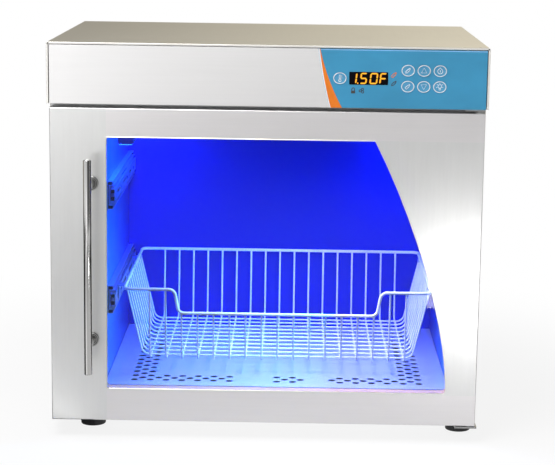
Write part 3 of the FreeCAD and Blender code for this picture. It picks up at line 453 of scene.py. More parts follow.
# The finish of each of the record's material slots
BY_SLOT = {
    # The wrap's darker, warmer tone is painted shade, the shaded copy of the hem's lighter steel
    "casing_steel": brushed("casing_steel", (0.71, 0.69, 0.65), 0.36, "Y", 0.9),
    "panel_steel": brushed("panel_steel", (0.91, 0.90, 0.895), 0.34, "X", 0.9, streak=0.012),
    "door_steel": brushed("door_stile_steel", (0.785, 0.785, 0.775), 0.30, "Z", 0.85, streak=0.03),
    "frame_steel": brushed("frame_steel", (0.66, 0.66, 0.67), 0.4),
    "galvanised_steel": galvanised("galvanised_steel", (0.58, 0.60, 0.61)),
    # The liner's blue is painted blue light, with painted shade deeper at the back and painted shadow under
    # the false floor
    "liner_steel": chamber_steel(
        "liner_steel", (0.03, 0.42, 0.9), painted_back_shade=(0.006, 0.03, 0.56), painted_under_floor_shade=(0.004, 0.006, 0.02),
    ),
    "insulation_wool": wool("insulation_wool", (0.72, 0.66, 0.42)),
    "heater_cable": plastic("heater_cable", (0.55, 0.08, 0.06), 0.5),
    # Painted light: the floor plate's blue tint stands in for the chamber's blue light
    "floor_steel": brushed("floor_steel", (0.62, 0.72, 0.92), 0.31, "X", 0.45, streak=0.05),
    # Painted light: the housings' aluminium is coloured deep blue for the lenses' blue light falling on it
    "lamp_aluminium": brushed("aluminium", (0.05, 0.12, 0.55), 0.4, "Y", 0.6),
    "lamp_lens": glowing("lamp_lens", (0.006, 0.08, 1.0), 78.0),
    "probe_steel": BALLS,
    "thermostat_plastic": BLACK,
    "slide_steel": SLIDE,
    "slide_plastic": BLACK,
    "ball_cage": BALLS,
    "basket_coating": COATING,
    "window_glass": clear_glass(
        "window_glass", (0.97, 0.98, 0.99), to_lamps=(0.9, 0.92, 0.95), to_room=(0.08, 0.09, 0.12),
    ),
    "spacer_aluminium": brushed("spacer_aluminium", (0.74, 0.50, 0.47), 0.5, "X", 0.1, streak=0.05),
    "seal_rubber": plastic("seal_rubber", (0.03, 0.03, 0.035), 0.7, 0.2),
    "gasket_silicone": silicone("gasket_silicone", (0.20, 0.20, 0.21)),
    "door_board": wool("door_board", (0.66, 0.62, 0.55)),
    "handle_steel": CHROME,
    "screw_steel": SCREW,
    "hinge_steel": brushed("hinge_steel", (0.36, 0.36, 0.36), 0.36),
    "bush_plastic": plastic("bush_plastic", (0.80, 0.80, 0.78), 0.5),
    "magnet_plastic": BLACK,
    "overlay_film": printed("overlay_blue", (0.045, 0.30, 0.51)),
    "key_film": KEY_BLUE,
    "display_lens": plastic("display_lens", (0.002, 0.0015, 0.003), 0.12, 0.0, specular=0.06),
    "display_body": BLACK,
    "circuit_board": circuit("circuit_board", (0.03, 0.22, 0.08)),
    "gland_plastic": BLACK,
    "foot_rubber": plastic("foot_rubber", (0.022, 0.022, 0.024), 0.6, 0.3),
}


def finish_nodes():
    """Every CAD node gets its slot's finish."""
    for node, slot in SLOTS.items():
        mesh = nodes[node].data
        mesh.materials.clear()
        mesh.materials.append(BY_SLOT[slot])


# Mesh making


def piece(name, bm, material, body, sharp=SHARP):
    """A finished mesh, smooth up to an angle, that rides on a body."""
    mesh = bpy.data.meshes.new(name)
    bm.to_mesh(mesh)
    bm.free()
    mesh.materials.append(material)
    mesh.shade_smooth()
    mesh.set_sharp_from_angle(angle=math.radians(sharp))
    made = bpy.data.objects.new(name, mesh)
    bpy.context.scene.collection.objects.link(made)
    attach(made, body)
    return made


def add_finishes(made, finishes, choose):
    """More finishes for a piece: choose gives each face's number, with 0 for the first finish."""
    for finish in finishes:
        made.data.materials.append(finish)
    for face in made.data.polygons:
        face.material_index = int(choose(face))


def joined(shapes):
    """One bmesh from several."""
    whole = bmesh.new()
    store = bpy.data.meshes.new("store")
    for shape in shapes:
        shape.to_mesh(store)
        whole.from_mesh(store)
        shape.free()
    bpy.data.meshes.remove(store)
    return whole


def aimed(centre, axis, flatten=1.0):
    """The transform that turns an upright shape along an axis and puts it at a place."""
    turn = Vector((0, 0, 1)).rotation_difference(Vector(axis)).to_matrix().to_4x4()
    squeeze = Matrix.Diagonal((1, 1, flatten, 1))
    return Matrix.Translation(centre) @ squeeze @ turn


def turned(profile, centre, axis, steps, flatten=1.0):
    """A turned solid: its profile is (radius, place along the axis) from end to end."""
    bm = bmesh.new()
    rim = [bm.verts.new((radius * MM, 0, along * MM)) for radius, along in profile]
    edges = [bm.edges.new(pair) for pair in zip(rim, rim[1:])]
    bmesh.ops.spin(
        bm, geom=rim + edges, cent=(0, 0, 0), axis=(0, 0, 1),
        angle=2 * math.pi, steps=steps, use_merge=True,
    )
    bmesh.ops.remove_doubles(bm, verts=bm.verts, dist=WELD)
    bmesh.ops.recalc_face_normals(bm, faces=bm.faces)
    bmesh.ops.transform(bm, matrix=aimed(centre, axis, flatten), verts=bm.verts)
    return bm


def plate(outline, front, back):
    """A flat piece seen from the front: its outline across and up, and two depths."""
    bm = bmesh.new()
    face = bm.faces.new([bm.verts.new(at(x, front, z)) for x, z in outline])
    grown = bmesh.ops.extrude_face_region(bm, geom=[face])
    moved = [part for part in grown["geom"] if isinstance(part, bmesh.types.BMVert)]
    bmesh.ops.translate(bm, verts=moved, vec=(0, (back - front) * MM, 0))
    bmesh.ops.recalc_face_normals(bm, faces=bm.faces)
    return bm


def slab(low, high, ease):
    """A block between two places in millimetres, with every edge eased."""
    bm = bmesh.new()
    bmesh.ops.create_cube(bm, size=1)
    corner = at(*low)
    size = at(*high) - corner
    bmesh.ops.scale(bm, vec=size, verts=bm.verts)
    bmesh.ops.translate(bm, vec=corner + size / 2, verts=bm.verts)
    bmesh.ops.bevel(
        bm, geom=bm.edges, offset=ease * MM, affect="EDGES", segments=2, profile=0.5, material=-1,
    )
    return bm


def round_line(radius, rings, bend_steps):
    """A curve that shows as a round line. Its splines are still to come."""
    curve = bpy.data.curves.new("line", "CURVE")
    curve.dimensions = "3D"
    curve.bevel_depth = radius * MM
    curve.bevel_resolution = rings
    curve.resolution_u = bend_steps
    curve.use_fill_caps = True
    return curve


def bezier(curve, count, closes):
    """A spline's knots on a curve."""
    spline = curve.splines.new("BEZIER")
    spline.bezier_points.add(count - 1)
    spline.use_cyclic_u = closes
    return spline.bezier_points


def solid_from(curve):
    """The curve's bmesh. The curve itself isn't kept."""
    holder = bpy.data.objects.new("line", curve)
    mesh = bpy.data.meshes.new_from_object(holder)
    bm = bmesh.new()
    bm.from_mesh(mesh)
    bpy.data.objects.remove(holder)
    bpy.data.curves.remove(curve)
    bpy.data.meshes.remove(mesh)
    return bm


def lines(strokes, radius, rings):
    """Round lines: each stroke is its places and its kind, which is open, closed or smooth."""
    curve = round_line(radius, rings, 8)
    for places, kind in strokes:
        for knot, place in zip(bezier(curve, len(places), kind != "open"), places):
            knot.co = at(*place)
            knot.handle_left_type = "AUTO" if kind == "smooth" else "VECTOR"
            knot.handle_right_type = knot.handle_left_type
    bm = solid_from(curve)
    bmesh.ops.remove_doubles(bm, verts=bm.verts, dist=WELD)
    bmesh.ops.recalc_face_normals(bm, faces=bm.faces)
    return bm


def eased(name, node, width, segments=2, cuts=(), second=None, choose=None):
    """A CAD piece with its sharp edges rounded.

    Cuts part its faces along planes, and the faces that choose picks get a second finish.
    """
    bm = bmesh.new()
    bm.from_mesh(nodes[node].data)
    bmesh.ops.remove_doubles(bm, verts=bm.verts, dist=CAD_WELD)
    bmesh.ops.dissolve_limit(bm, angle_limit=math.radians(0.5), verts=bm.verts, edges=bm.edges)
    for place, across in cuts:
        whole = bm.verts[:] + bm.edges[:] + bm.faces[:]
        bmesh.ops.bisect_plane(bm, geom=whole, dist=1e-6, plane_co=place, plane_no=across)
    corners = [
        edge for edge in bm.edges
        if edge.is_manifold and edge.calc_face_angle() > math.radians(SHARP)
    ]
    bmesh.ops.bevel(
        bm, geom=corners, offset=width * MM, affect="EDGES", segments=segments,
        profile=0.5, material=-1, clamp_overlap=False,
    )
    bmesh.ops.triangulate(bm, faces=[face for face in bm.faces if len(face.verts) > 4])
    made = piece(name, bm, BY_SLOT[SLOTS[node]], body_of(node))
    if second:
        add_finishes(made, [second], choose)
    weighted = made.modifiers.new("even shading", "WEIGHTED_NORMAL")
    weighted.keep_sharp = True
    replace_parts(made, node)


# The casing


def casing():
    """The folded wrap and what it holds.

    Its hem round the head is painted lighter where it faces forward, while the rest of the wrap keeps a
    darker, warmer steel: painted light and shade on one sheet. The head's underside is painted dark, a
    painted shade in the gap over the door.
    """
    hem_plane = at(0, HEM_DEPTH, 0).y

    def on_hem(face):
        return face.normal.y < -0.7 and face.center.y < hem_plane

    def underneath(face):
        return face.normal.z < -0.9

    # Painted light: the hem's forward faces get the lighter steel, the rest the darker one
    eased("casing_shell", "outer_wrap", 0.35, second=CASING_HEM_PAINTED_LIGHT, choose=on_hem)
    # Painted shade: the head's underside is near black, for the shadow in the gap over the door
    eased("head_panel", "head_front_panel", 0.3, second=PAINTED_SHADE_STEEL, choose=underneath)
    eased("mouth_frame", "front_frame", 0.3)
    eased("rear_sheet", "back_panel", 0.3)
    eased("bottom_pan", "base_pan", 0.3)
    eased("hinge_plates", "hinge_brackets", 0.5)
    eased("catch_body", "magnetic_catch", 0.6)
    eased("foot_set", "rubber_feet", 1.2, segments=3)


def cross_head(centre, radius, height, axis):
    """A domed screw head with a cross cut into it."""
    arm = radius * 0.55
    half = radius * 0.14
    cross_floor = height * 0.4
    bm = bmesh.new()
    loops = []
    for ring_radius, level in ((radius, 0), (radius, height * 0.45), (radius * 0.72, height)):
        ring = bmesh.ops.create_circle(bm, segments=24, radius=ring_radius * MM)["verts"]
        bmesh.ops.translate(bm, verts=ring, vec=(0, 0, level * MM))
        loops.append(ring)
    corners = []
    for quarter in range(4):
        turn = Matrix.Rotation(quarter * math.pi / 2, 3, "Z")
        for x, y in ((half, -half), (arm, -half), (arm, half)):
            corners.append(turn @ Vector((x, y, 0)) * MM)
    for level in (height, cross_floor):
        loop = [bm.verts.new(corner + Vector((0, 0, level * MM))) for corner in corners]
        for start, end in zip(loop, loop[1:] + loop[:1]):
            bm.edges.new((start, end))
        loops.append(loop)
    for outer, inner in zip(loops, loops[1:]):
        ring_edges = [
            edge for edge in bm.edges
            if set(edge.verts) <= set(outer) or set(edge.verts) <= set(inner)
        ]
        bmesh.ops.bridge_loops(bm, edges=ring_edges)
    bm.faces.new(loops[-1])
    bm.faces.new(loops[0])
    bmesh.ops.recalc_face_normals(bm, faces=bm.faces)
    bmesh.ops.transform(bm, matrix=aimed(centre, axis), verts=bm.verts)
    return bm


def screws():
    """Cross-headed screws: flush ones through the top, domed ones round the rear sheet."""
    top = extent("outer_wrap")[2][1]
    back = extent("back_panel")[1][1]
    sides = (-TOP_SCREW_X, TOP_SCREW_X)
    heads = [cross_head(at(x, SCREW_DEPTH, top - SCREW_SINK), 3.0, 1.1, (0, 0, 1)) for x in sides]
    rear = [(x, z) for z in REAR_SCREW_HEIGHTS for x in sides]
    rear += [(x, z) for z in REAR_EDGE_HEIGHTS for x in (-REAR_MIDDLE_X, REAR_MIDDLE_X)]
    heads += [cross_head(at(x, back, z), 3.5, 2.0, (0, 1, 0)) for x, z in rear]
    made = piece("casing_screw_heads", joined(heads), SCREW, "cabinet")
    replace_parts(made, "casing_screws")


def gland():
    """The lead's gland: a flanged body, a hexagon for the spanner and a ribbed dome."""
    x, z = GLAND_PLACE
    centre = at(x, extent("back_panel")[1][1], z)
    profile = [
        (4.5, -8), (8.9, -8), (8.9, 0), (13, 0), (13, 2.2), (12.2, 3), (10.2, 3), (10.2, 4),
        (10.4, 4.4), (10.2, 8), (9.2, 11.5), (7.6, 13.6), (6.2, 14), (4.5, 13.2), (4.5, -8),
    ]
    shapes = [turned(profile, centre, (0, 1, 0), 48)]
    for step in range(GLAND_RIBS):
        rib = slab((-0.6, 4.2, 9.6), (0.6, 9.5, 10.9), 0.25)
        turn = Matrix.Rotation(2 * math.pi * step / GLAND_RIBS, 4, "Y")
        about = Matrix.Translation(centre) @ turn @ Matrix.Translation(-at(0, 0, 0))
        bmesh.ops.transform(rib, matrix=about, verts=rib.verts)
        shapes.append(rib)
    made = piece("lead_gland", joined(shapes), BLACK, "cabinet")
    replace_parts(made, "power_inlet_gland")


# The overlay's printing, the display and the keys


def curve_through(first, second, third):
    """Places along a shallow curve through three places."""
    (x0, z0), (x1, z1), (x2, z2) = first, second, third
    places = []
    for step in range(STRIPE_STEPS + 1):
        z = z0 + (z2 - z0) * step / STRIPE_STEPS
        x = x0 * (z - z1) * (z - z2) / ((z0 - z1) * (z0 - z2))
        x += x1 * (z - z0) * (z - z2) / ((z1 - z0) * (z1 - z2))
        x += x2 * (z - z0) * (z - z1) / ((z2 - z0) * (z2 - z1))
        places.append((x, z))
    return places


def circle(x, z, radius, start=0, end=360, count=16):
    """Places along a circle or a part of one, in degrees from the right."""
    places = []
    for step in range(count + (end - start < 360)):
        turn = math.radians(start + (end - start) * step / count)
        places.append((x + radius * math.cos(turn), z + radius * math.sin(turn)))
    return places


def tilted(outline, size, lean=45):
    """An outline drawn upright round zero, scaled and turned clockwise."""
    across = size * math.cos(math.radians(lean))
    up = size * math.sin(math.radians(lean))
    return [(u * across + v * up, v * across - u * up) for u, v in outline]


def shifted(outline, x, z):
    return [(x + u, z + v) for u, v in outline]


def drawn(strokes, x, z, depth=0):
    """Strokes that are drawn round zero, put in place."""
    return [([(u, depth, v) for u, v in shifted(outline, x, z)], kind) for outline, kind in strokes]


# Signs drawn round zero

LOCK = [(-3, -2.4), (3, -2.4), (3, 1.8), (-3, 1.8)]
SHACKLE = [(-1.9, 1.8)] + circle(0, 4, 1.9, 180, 0, 8) + [(1.9, 1.8)]
PETAL = [(0, 0.2), (-1.5, 2.6), (0, 4.0), (1.5, 2.6)]
BOTTLE = [
    (-0.3, -0.85), (0.3, -0.85), (0.3, 0.3), (0.14, 0.5),
    (0.14, 0.85), (-0.14, 0.85), (-0.14, 0.5), (-0.3, 0.3),
]
NOZZLE = [(0.0, -0.85), (0.0, -1.25)]
TRIANGLE = [(-0.95, -0.7), (0.95, -0.7), (0.0, 0.95)]
RAY = [(0, 3.9), (0, 5.2)]

# The light line picture on each key
KEY_SIGNS = {
    "key_up": [(tilted(TRIANGLE, 4.4, 0), "closed")],
    "key_down": [(tilted(TRIANGLE, 4.4, 180), "closed")],
    "key_power": [
        (circle(0, -0.4, 3.7, 110, 430, 20) + [(0, 5.0)], "closed"),
        ([(0, -2.0), (0, 1.4)], "open"),
    ],
    "key_light": [
        (circle(0, 1.0, 2.7), "smooth"),
        ([(-1.0, -1.6), (-1.0, -4.4), (1.0, -4.4), (1.0, -1.6)], "open"),
        *((shifted(tilted(RAY, 1.0, lean), 0, 1.0), "open") for lean in (-110, -55, 0, 55, 110)),
    ],
    "key_display": [
        (circle(0, -3.2, 1.8), "smooth"),
        ([(-0.9, -1.6), (-0.9, 4.6), (0.9, 4.6), (0.9, -1.6)], "open"),
        *(([(1.9, rise), (3.4, rise)], "open") for rise in (0.4, 2.2, 4.0)),
    ],
    "key_bottle": [(tilted(BOTTLE, 4.9), "closed"), (tilted(NOZZLE, 4.4), "open")],
    "key_bag": [(tilted(BOTTLE, 4.9), "closed")],
}

# The ends of a figure's bars: left or right, and low, middle or high
FIGURE_BARS = {
    "top": ((-1, 1), (1, 1)),
    "middle": ((-1, 0), (1, 0)),
    "bottom": ((-1, -1), (1, -1)),
    "upper_left": ((-1, 1), (-1, 0)),
    "lower_left": ((-1, 0), (-1, -1)),
    "upper_right": ((1, 1), (1, 0)),
    "lower_right": ((1, 0), (1, -1)),
}

# Each figure: its middle from the window's left edge, how far its bars stand apart, and those that are lit
FIGURES = [
    (10.4, 0.0, ("upper_right", "lower_right")),
    (21.3, 8.2, ("top", "upper_left", "middle", "lower_right", "bottom")),
    (36.5, 9.6, ("top", "upper_left", "lower_left", "upper_right", "lower_right", "bottom")),
    (50.5, 8.2, ("top", "upper_left", "lower_left", "middle")),
]
# The point after the first figure: how far in from that edge, and how far over the figures' foot
POINT_PLACE = 12.6
POINT_RISE = 1.3


def printed_piece(name, shapes, ink):
    """Printing lies nearly flat, so its lines are pressed down on the film."""
    whole = joined(shapes)
    face = at(0, 0, 0).y
    for vert in whole.verts:
        vert.co.y = max(vert.co.y, face - INK * MM)
    piece(name, whole, ink, "cabinet")


def printing():
    """The two stripes down the overlay's left edge, a painted highlight along its top and the signs by the
    display.
    """
    across, _depth, up = extent("control_overlay")
    low, top = up
    right = across[1] - 0.6
    edge = curve_through((74.6, top), (81.6, 566), (93.0, low))
    orange_left = curve_through((77.0, top), (83.2, 568), (94.7, low))
    orange_right = curve_through((77.8, top), (89.1, 568), (111.5, low))
    # A painted highlight along the overlay's top edge, where its rounded edge would catch the light
    bright = [(79.0, top - 2.0), (78.8, top - 0.9), (right, top - 0.9), (right, top - 2.0)]
    for name, outline, ink in (
        ("white_stripe", edge + orange_left[::-1], WHITE_INK),
        ("orange_stripe", orange_left + orange_right[::-1], ORANGE_INK),
        ("bright_top_line", bright, PAINTED_EDGE_HIGHLIGHT),
    ):
        printed_piece(name, [plate(outline, 0, -INK)], ink)

    lock_place = (127.8, 543.2)
    fan = [(tilted(PETAL, 1.0, lean), "smooth") for lean in (-95, 25, 145)]
    bottle = [(tilted(BOTTLE, 4.6), "closed"), (tilted(NOZZLE, 4.6), "open")]
    dark_lines = drawn([(SHACKLE, "open")], *lock_place)
    dark_lines += drawn(fan, 140.7, 545.0) + drawn(bottle, 188.6, 556.9)
    lock = plate(shifted(LOCK, *lock_place), 0, -INK)
    printed_piece("dark_signs", [lock, lines(dark_lines, SIGN_LINE, 1)], DARK_INK)
    orange_lines = drawn([(tilted(BOTTLE, 5.2), "closed")], 188.3, 569.3)
    printed_piece("orange_sign", [lines(orange_lines, SIGN_LINE, 1)], ORANGE_INK)


def segment(start, end, half):
    """One bar of a figure, with pointed ends."""
    first = Vector(start)
    last = Vector(end)
    ahead = (last - first).normalized()
    side = Vector((-ahead.y, ahead.x))
    return [
        tuple(place) for place in (
            first, first + (ahead + side) * half, last + (side - ahead) * half,
            last, last - (ahead + side) * half, first + (ahead - side) * half,
        )
    ]


def display():
    """The temperature in slanted seven-bar figures, behind a dark framed window."""
    across, _depth, up = extent("display_window")
    left = across[0]
    centre = middle(up)
    half = (FIGURE_HEIGHT - BAR_THICK) / 2
    point_height = centre - FIGURE_HEIGHT / 2 + POINT_RISE
    for name, thick, proud, glow in (
        ("figure_edges", BAR_THICK, 0.06, AMBER_EDGE),
        ("figure_cores", BAR_THICK * 0.55, 0.1, AMBER_CORE),
    ):
        outlines = []
        for place, width, lit in FIGURES:
            for bar in lit:
                ends = [(left + place + width / 2 * side, half * rise) for side, rise in FIGURE_BARS[bar]]
                outlines.append([
                    (x + z * FIGURE_SLANT, centre + z) for x, z in segment(*ends, thick / 2)
                ])
        outlines.append(circle(left + POINT_PLACE, point_height, thick / 2, count=10))
        bars = [plate(outline, FIGURE_BACK, -proud) for outline in outlines]
        piece(name, joined(bars), glow, "cabinet")
    eased("display_pane", "display_window", 0.5, segments=3)


def keys():
    """Each key: a dished cap with a raised white rim, its lip and stem, and its picture."""
    rim_plane = at(0, KEY_RIM_DEPTH, 0).y
    for name in [node for node in nodes if node.startswith("key_")]:
        across, _depth, up = extent(name)
        x = middle(across)
        z = middle(up)
        half_width = (across[1] - across[0]) / 2 - KEY_LIP
        flatten = (up[1] - up[0]) / (across[1] - across[0])
        rim = half_width - KEY_RIM_WIDTH
        profile = [
            (0, -0.30), (3, -0.31), (5.6, -0.38), (7.6, -0.52), (rim - 0.15, -0.72), (rim, -0.92),
            (rim + 0.35, -1.0), (half_width - 0.35, -0.98), (half_width, -0.7), (half_width, 2.2),
            (half_width + KEY_LIP, 2.2), (half_width + KEY_LIP, 3.0), (2.5, 3.0), (2.5, 15.4), (0, 15.4),
        ]

        def on_rim(face):
            out = Vector((face.center.x / MM - x, (face.center.z / MM - z) / flatten)).length
            return out > rim - 0.1 and face.center.y < rim_plane

        body = body_of(name)
        shape = turned(profile, at(x, 0, z), (0, 1, 0), 64, flatten)
        cap = piece(name + "_cap", shape, KEY_BLUE, body)
        add_finishes(cap, [WHITE_INK], on_rim)
        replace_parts(cap, name)
        sign = drawn(KEY_SIGNS[name], x, z, KEY_SIGN_DEPTH)
        piece(name + "_sign", lines(sign, KEY_SIGN_LINE, 1), PALE_INK, body)


# The door


def window_edges():
    """The left, lower and upper edge of the window, which the pane reaches behind."""
    across, _depth, up = extent("window_pane_outer")
    return across[0] + PANE_GROW, up[0] + PANE_GROW, up[1] - PANE_GROW


def door():
    """The door's face with its rails butt-welded between stiles, and the pieces behind it."""
    left, low, high = window_edges()
    stile = at(left, 0, 0)
    sill = at(0, 0, low - SILL_SEAM)
    head = at(0, 0, high)
    face_plane = at(0, RAIL_DEPTH, 0).y

    def on_rail(face):
        in_rail = face.center.x > stile.x and not sill.z < face.center.z < head.z
        return in_rail and face.center.y < face_plane

    seams = ((stile, (1, 0, 0)), (sill, (0, 0, 1)), (head, (0, 0, 1)))
    eased("door_face", "door_outer_skin", 0.35, cuts=seams, second=DOOR_RAIL, choose=on_rail)
    eased("door_back", "door_inner_pan", 0.3)
    eased("glass_spacer", "pane_spacer", 0.3)
    eased("strike", "strike_plate", 0.3)


def window_bead():
    """The rounded and polished edge of the sheet all round the window."""
    left, low, high = window_edges()
    right, sweep_end = SWEEP[3]
    inner_left = left + WINDOW_CORNER
    inner_right = right - WINDOW_CORNER
    inner_low = low + WINDOW_CORNER
    inner_high = high - WINDOW_CORNER
    pull = WINDOW_CORNER * QUARTER_REACH
    # Each knot: its place, the handle before it and the handle after it
    knots = [
        ((inner_left, high), (inner_left - pull, high), (inner_left, high)),
        (SWEEP[0], SWEEP[0], SWEEP[1]),
        (SWEEP[3], SWEEP[2], (right, sweep_end)),
        ((inner_right, low), (inner_right + pull, low), (inner_right, low)),
        ((inner_left, low), (inner_left, low), (inner_left - pull, low)),
        ((left, inner_low), (left, inner_low - pull), (left, inner_low)),
        ((left, inner_high), (left, inner_high), (left, inner_high + pull)),
    ]
    curve = round_line(BEAD_RADIUS, 3, 10)
    for knot, places in zip(bezier(curve, len(knots), True), knots):
        knot.handle_left_type = "FREE"
        knot.handle_right_type = "FREE"
        knot.co, knot.handle_left, knot.handle_right = [at(x, BEAD_DEPTH, z) for x, z in places]
    piece("window_edge", solid_from(curve), BEAD, "door")


def handle():
    """The bar with its rounded ends, and two standoffs on ringed roses."""
    across, depth, up = extent("handle_bar")
    x = middle(across)
    radius = (across[1] - across[0]) / 2
    low, high = up
    bar = turned([
        (0, low + 0.25), (radius - 1.4, low + 0.25), (radius - 0.9, low), (radius - 0.4, low + 0.3),
        (radius, low + 1.0), (radius, high - 1.0), (radius - 0.4, high - 0.3), (radius - 0.9, high),
        (radius - 1.4, high - 0.25), (0, high - 0.25),
    ], at(x, middle(depth), 0), (0, 0, 1), 64)
    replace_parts(piece("handle_grip", bar, CHROME, "door"), "handle_bar")

    inside_bar = middle(depth) + 3
    post = [
        (0, inside_bar), (radius - 0.6, inside_bar), (radius - 0.3, -12), (radius - 0.3, -8.2),
        (radius + 0.2, -7.2), (radius + 0.2, -5.4), (6.8, -4.4), (7.2, -5.0), (8.2, -5.0), (8.5, -4.0),
        (9.1, -4.0), (9.4, -5.0), (10.4, -5.0), (10.9, -4.6), (11.0, -4.0), (11.0, -0.8), (10.6, -0.05),
        (0, -0.05),
    ]
    posts = [turned(post, at(x, 0, z), (0, 1, 0), 56) for z in HANDLE_POSTS]
    rose_plane = at(0, ROSE_DEPTH, 0).y

    def ring(face):
        """1 in the grooves of a rose, painted dark as painted shade, 2 on its rings."""
        z = min(HANDLE_POSTS, key=lambda height: abs(height - face.center.z / MM))
        out = Vector((face.center.x / MM - x, face.center.z / MM - z)).length
        if face.center.y <= rose_plane or out <= radius - 0.3:
            return 0
        return 2 if any(inner <= out <= outer for inner, outer in ROSE_RINGS) else 1

    made = piece("handle_standoffs", joined(posts), CHROME, "door")
    add_finishes(made, [PAINTED_SHADE_STEEL, ROSE_STEEL], ring)
    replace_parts(made, "handle_posts")


# The chamber


def chamber():
    """The liner, false floor, lamps and slides, eased.

    The lamp channels' front ends get a dim painted glow, painted light on aluminium that gives no light
    itself; the lenses glow fully only underneath.
    """
    eased("chamber_box", "chamber_liner", 0.6)
    eased("false_floor", "floor_plate", 0.25, segments=1)
    # The forward faces of the channels take the painted glow
    eased("lamp_channels", "lamp_housings", 0.3, second=PAINTED_LAMP_END_GLOW, choose=lambda face: face.normal.y < -0.5)
    eased(
        "lamp_covers", "lamp_lenses", 0.8, segments=3,
        second=LENS_SIDE, choose=lambda face: face.normal.z > -0.5,
    )
    for level in ("upper", "lower"):
        for member in ("outer", "middle", "inner"):
            eased("%s_%s_rails" % (level, member), "%s_slide_%s_members" % (level, member), 0.35)
    eased("basket_lugs", "basket_brackets", 0.3)


def both_walls(shape):
    """A piece on the left wall, and its mirror image on the right one."""
    other = shape.copy()
    centre = middle(extent("lower_slide_outer_members")[0])
    mirror = Matrix.Translation((2 * centre * MM, 0, 0)) @ Matrix.Diagonal((-1, 1, 1, 1))
    bmesh.ops.transform(other, verts=other.verts, matrix=mirror)
    bmesh.ops.recalc_face_normals(other, faces=other.faces)
    return joined([shape, other])


def slide_trim(level):
    """Rolled lips, end stops, plugs and rivets of one pair of slides. Returns the end stops."""
    across, depth, up = extent(level + "_slide_outer_members")
    wall = across[0]
    front, back = depth
    centre = middle(up)
    runner = "basket" if level == "lower" else "cabinet"

    def end_blocks(near, far, blocks):
        """Blocks at both ends: each is its span out from the wall, its span up and its ease."""
        made = []
        for start, finish in ((front + near, front + far), (back - far, back - near)):
            for (inner, outer), (low, high), ease in blocks:
                corner = (wall + inner, start, centre + low)
                made.append(slab(corner, (wall + outer, finish, centre + high), ease))
        return both_walls(joined(made))

    lips = []
    for z in (centre - LIP_HEIGHT, centre + LIP_HEIGHT):
        lips.append(([(wall + LIP_FACE, front + 0.6, z), (wall + LIP_FACE, back - 0.6, z)], "open"))
    piece(level + "_slide_lips", both_walls(lines(lips, 1.0, 2)), SLIDE, "cabinet")

    stop_blocks = [
        ((1.4, 8.4), (16.5, 21.1), 0.5),
        ((1.4, 8.4), (-21.1, -16.5), 0.5),
        ((1.4, 2.2), (-21, 21), 0.25),
    ]
    stops = piece(
        level + "_slide_ends", end_blocks(0.5, 10, stop_blocks), BLACK, "cabinet",
    )
    plugs = end_blocks(0.4, 5.5, [((5.6, 11.2), (3.2, 8.6), 0.6), ((5.6, 11.2), (-8.6, -3.2), 0.6)])
    piece(level + "_slide_plugs", plugs, BLACK, runner)

    rivet = [(0, 1.1), (1.2, 1.05), (2.4, 0.75), (3.1, 0.25), (3.2, 0), (0, 0)]
    rivets = [
        turned(rivet, at(wall + RIVET_FACE, front + reach, centre), (1, 0, 0), 20)
        for reach in RIVET_REACHES
    ]
    piece(level + "_slide_rivets", both_walls(joined(rivets)), BALLS, runner)
    return stops


def basket_welds():
    """The small nuggets of metal where the wires cross and where they meet the rim."""
    long_wires = extent("basket_long_wires")
    cross_wires = extent("basket_cross_wires")
    (left, right), (front, back), (dip, top) = extent("basket_rim")
    columns = [long_wires[0][0] + WIRE + column * WIRE_PITCH for column in range(LONG_WIRES)]
    rows = [cross_wires[1][0] + WIRE + row * WIRE_PITCH for row in range(CROSS_WIRES)]
    low = cross_wires[2][0] - 0.1
    high = top - RIM - NUGGET_DROP
    dip_height = dip + RIM - NUGGET_DROP

    places = [(x, depth, low) for x in columns for depth in rows]
    places += [(x, depth, high) for depth in rows for x in (left + RIM, right - RIM)]
    for x in columns:
        in_dip = abs(x - middle((left, right))) < DIP_HALF
        places.append((x, back - RIM, high))
        places.append((x, front + RIM, dip_height if in_dip else high))
    nuggets = []
    for place in places:
        nugget = bmesh.new()
        bmesh.ops.create_icosphere(
            nugget, subdivisions=1, radius=NUGGET_RADIUS * MM, matrix=Matrix.Translation(at(*place)),
        )
        nuggets.append(nugget)
    piece("basket_welds", joined(nuggets), COATING, "basket", sharp=80)


# The studio, in metres

# The camera turns left by its yaw, looks down by its pitch and then rolls
CAMERA_PLACE = (0.04321, -2.83434, 0.81784)
CAMERA_YAW = math.radians(0.5527)
CAMERA_PITCH = math.radians(10.5898)
CAMERA_ROLL = math.radians(0.8125)
SENSOR_WIDTH = 36
FOCAL_PIXELS = 1759.31
FRAME_WIDTH = 555

# Each lamp: its place, what it aims at, its width and height, its power and its colour, and whether
# steel mirrors it
LAMPS = {
    "key_lamp": ((-0.5, -0.9, 1.9), (0, -0.1, 0.2), (1.0, 1.0), 28, (1, 1, 1), True),
    "left_lamp": ((-1.1, -2.8, 0.45), (-0.2, -0.2, 0.25), (0.5, 1.0), 1.8, (1, 1, 1), True),
    "low_right_lamp": ((0.41, -1.0, 0.08), (0.28, -0.2, 0.3), (0.2, 0.1), 0.62, (1, 1, 1), True),
    "chamber_front_lamp": (
        (0.09, -0.14, 0.40), (0.14, -0.1, 0.05), (0.2, 0.03), 2.2, (0.75, 0.78, 1), False,
    ),
    "chamber_side_lamp": (
        (0.1, -0.12, 0.30), (-0.25, -0.1, 0.27), (0.06, 0.2), 1.6, (0.0, 0.5, 1), False,
    ),
}

FLOOR_SIZE = 40
# How much plain white the eye sees over the floor: by the cabinet and further off, and at which distances
FLOOR_COVER = (0.86, 1.0, 0.35, 1.1)
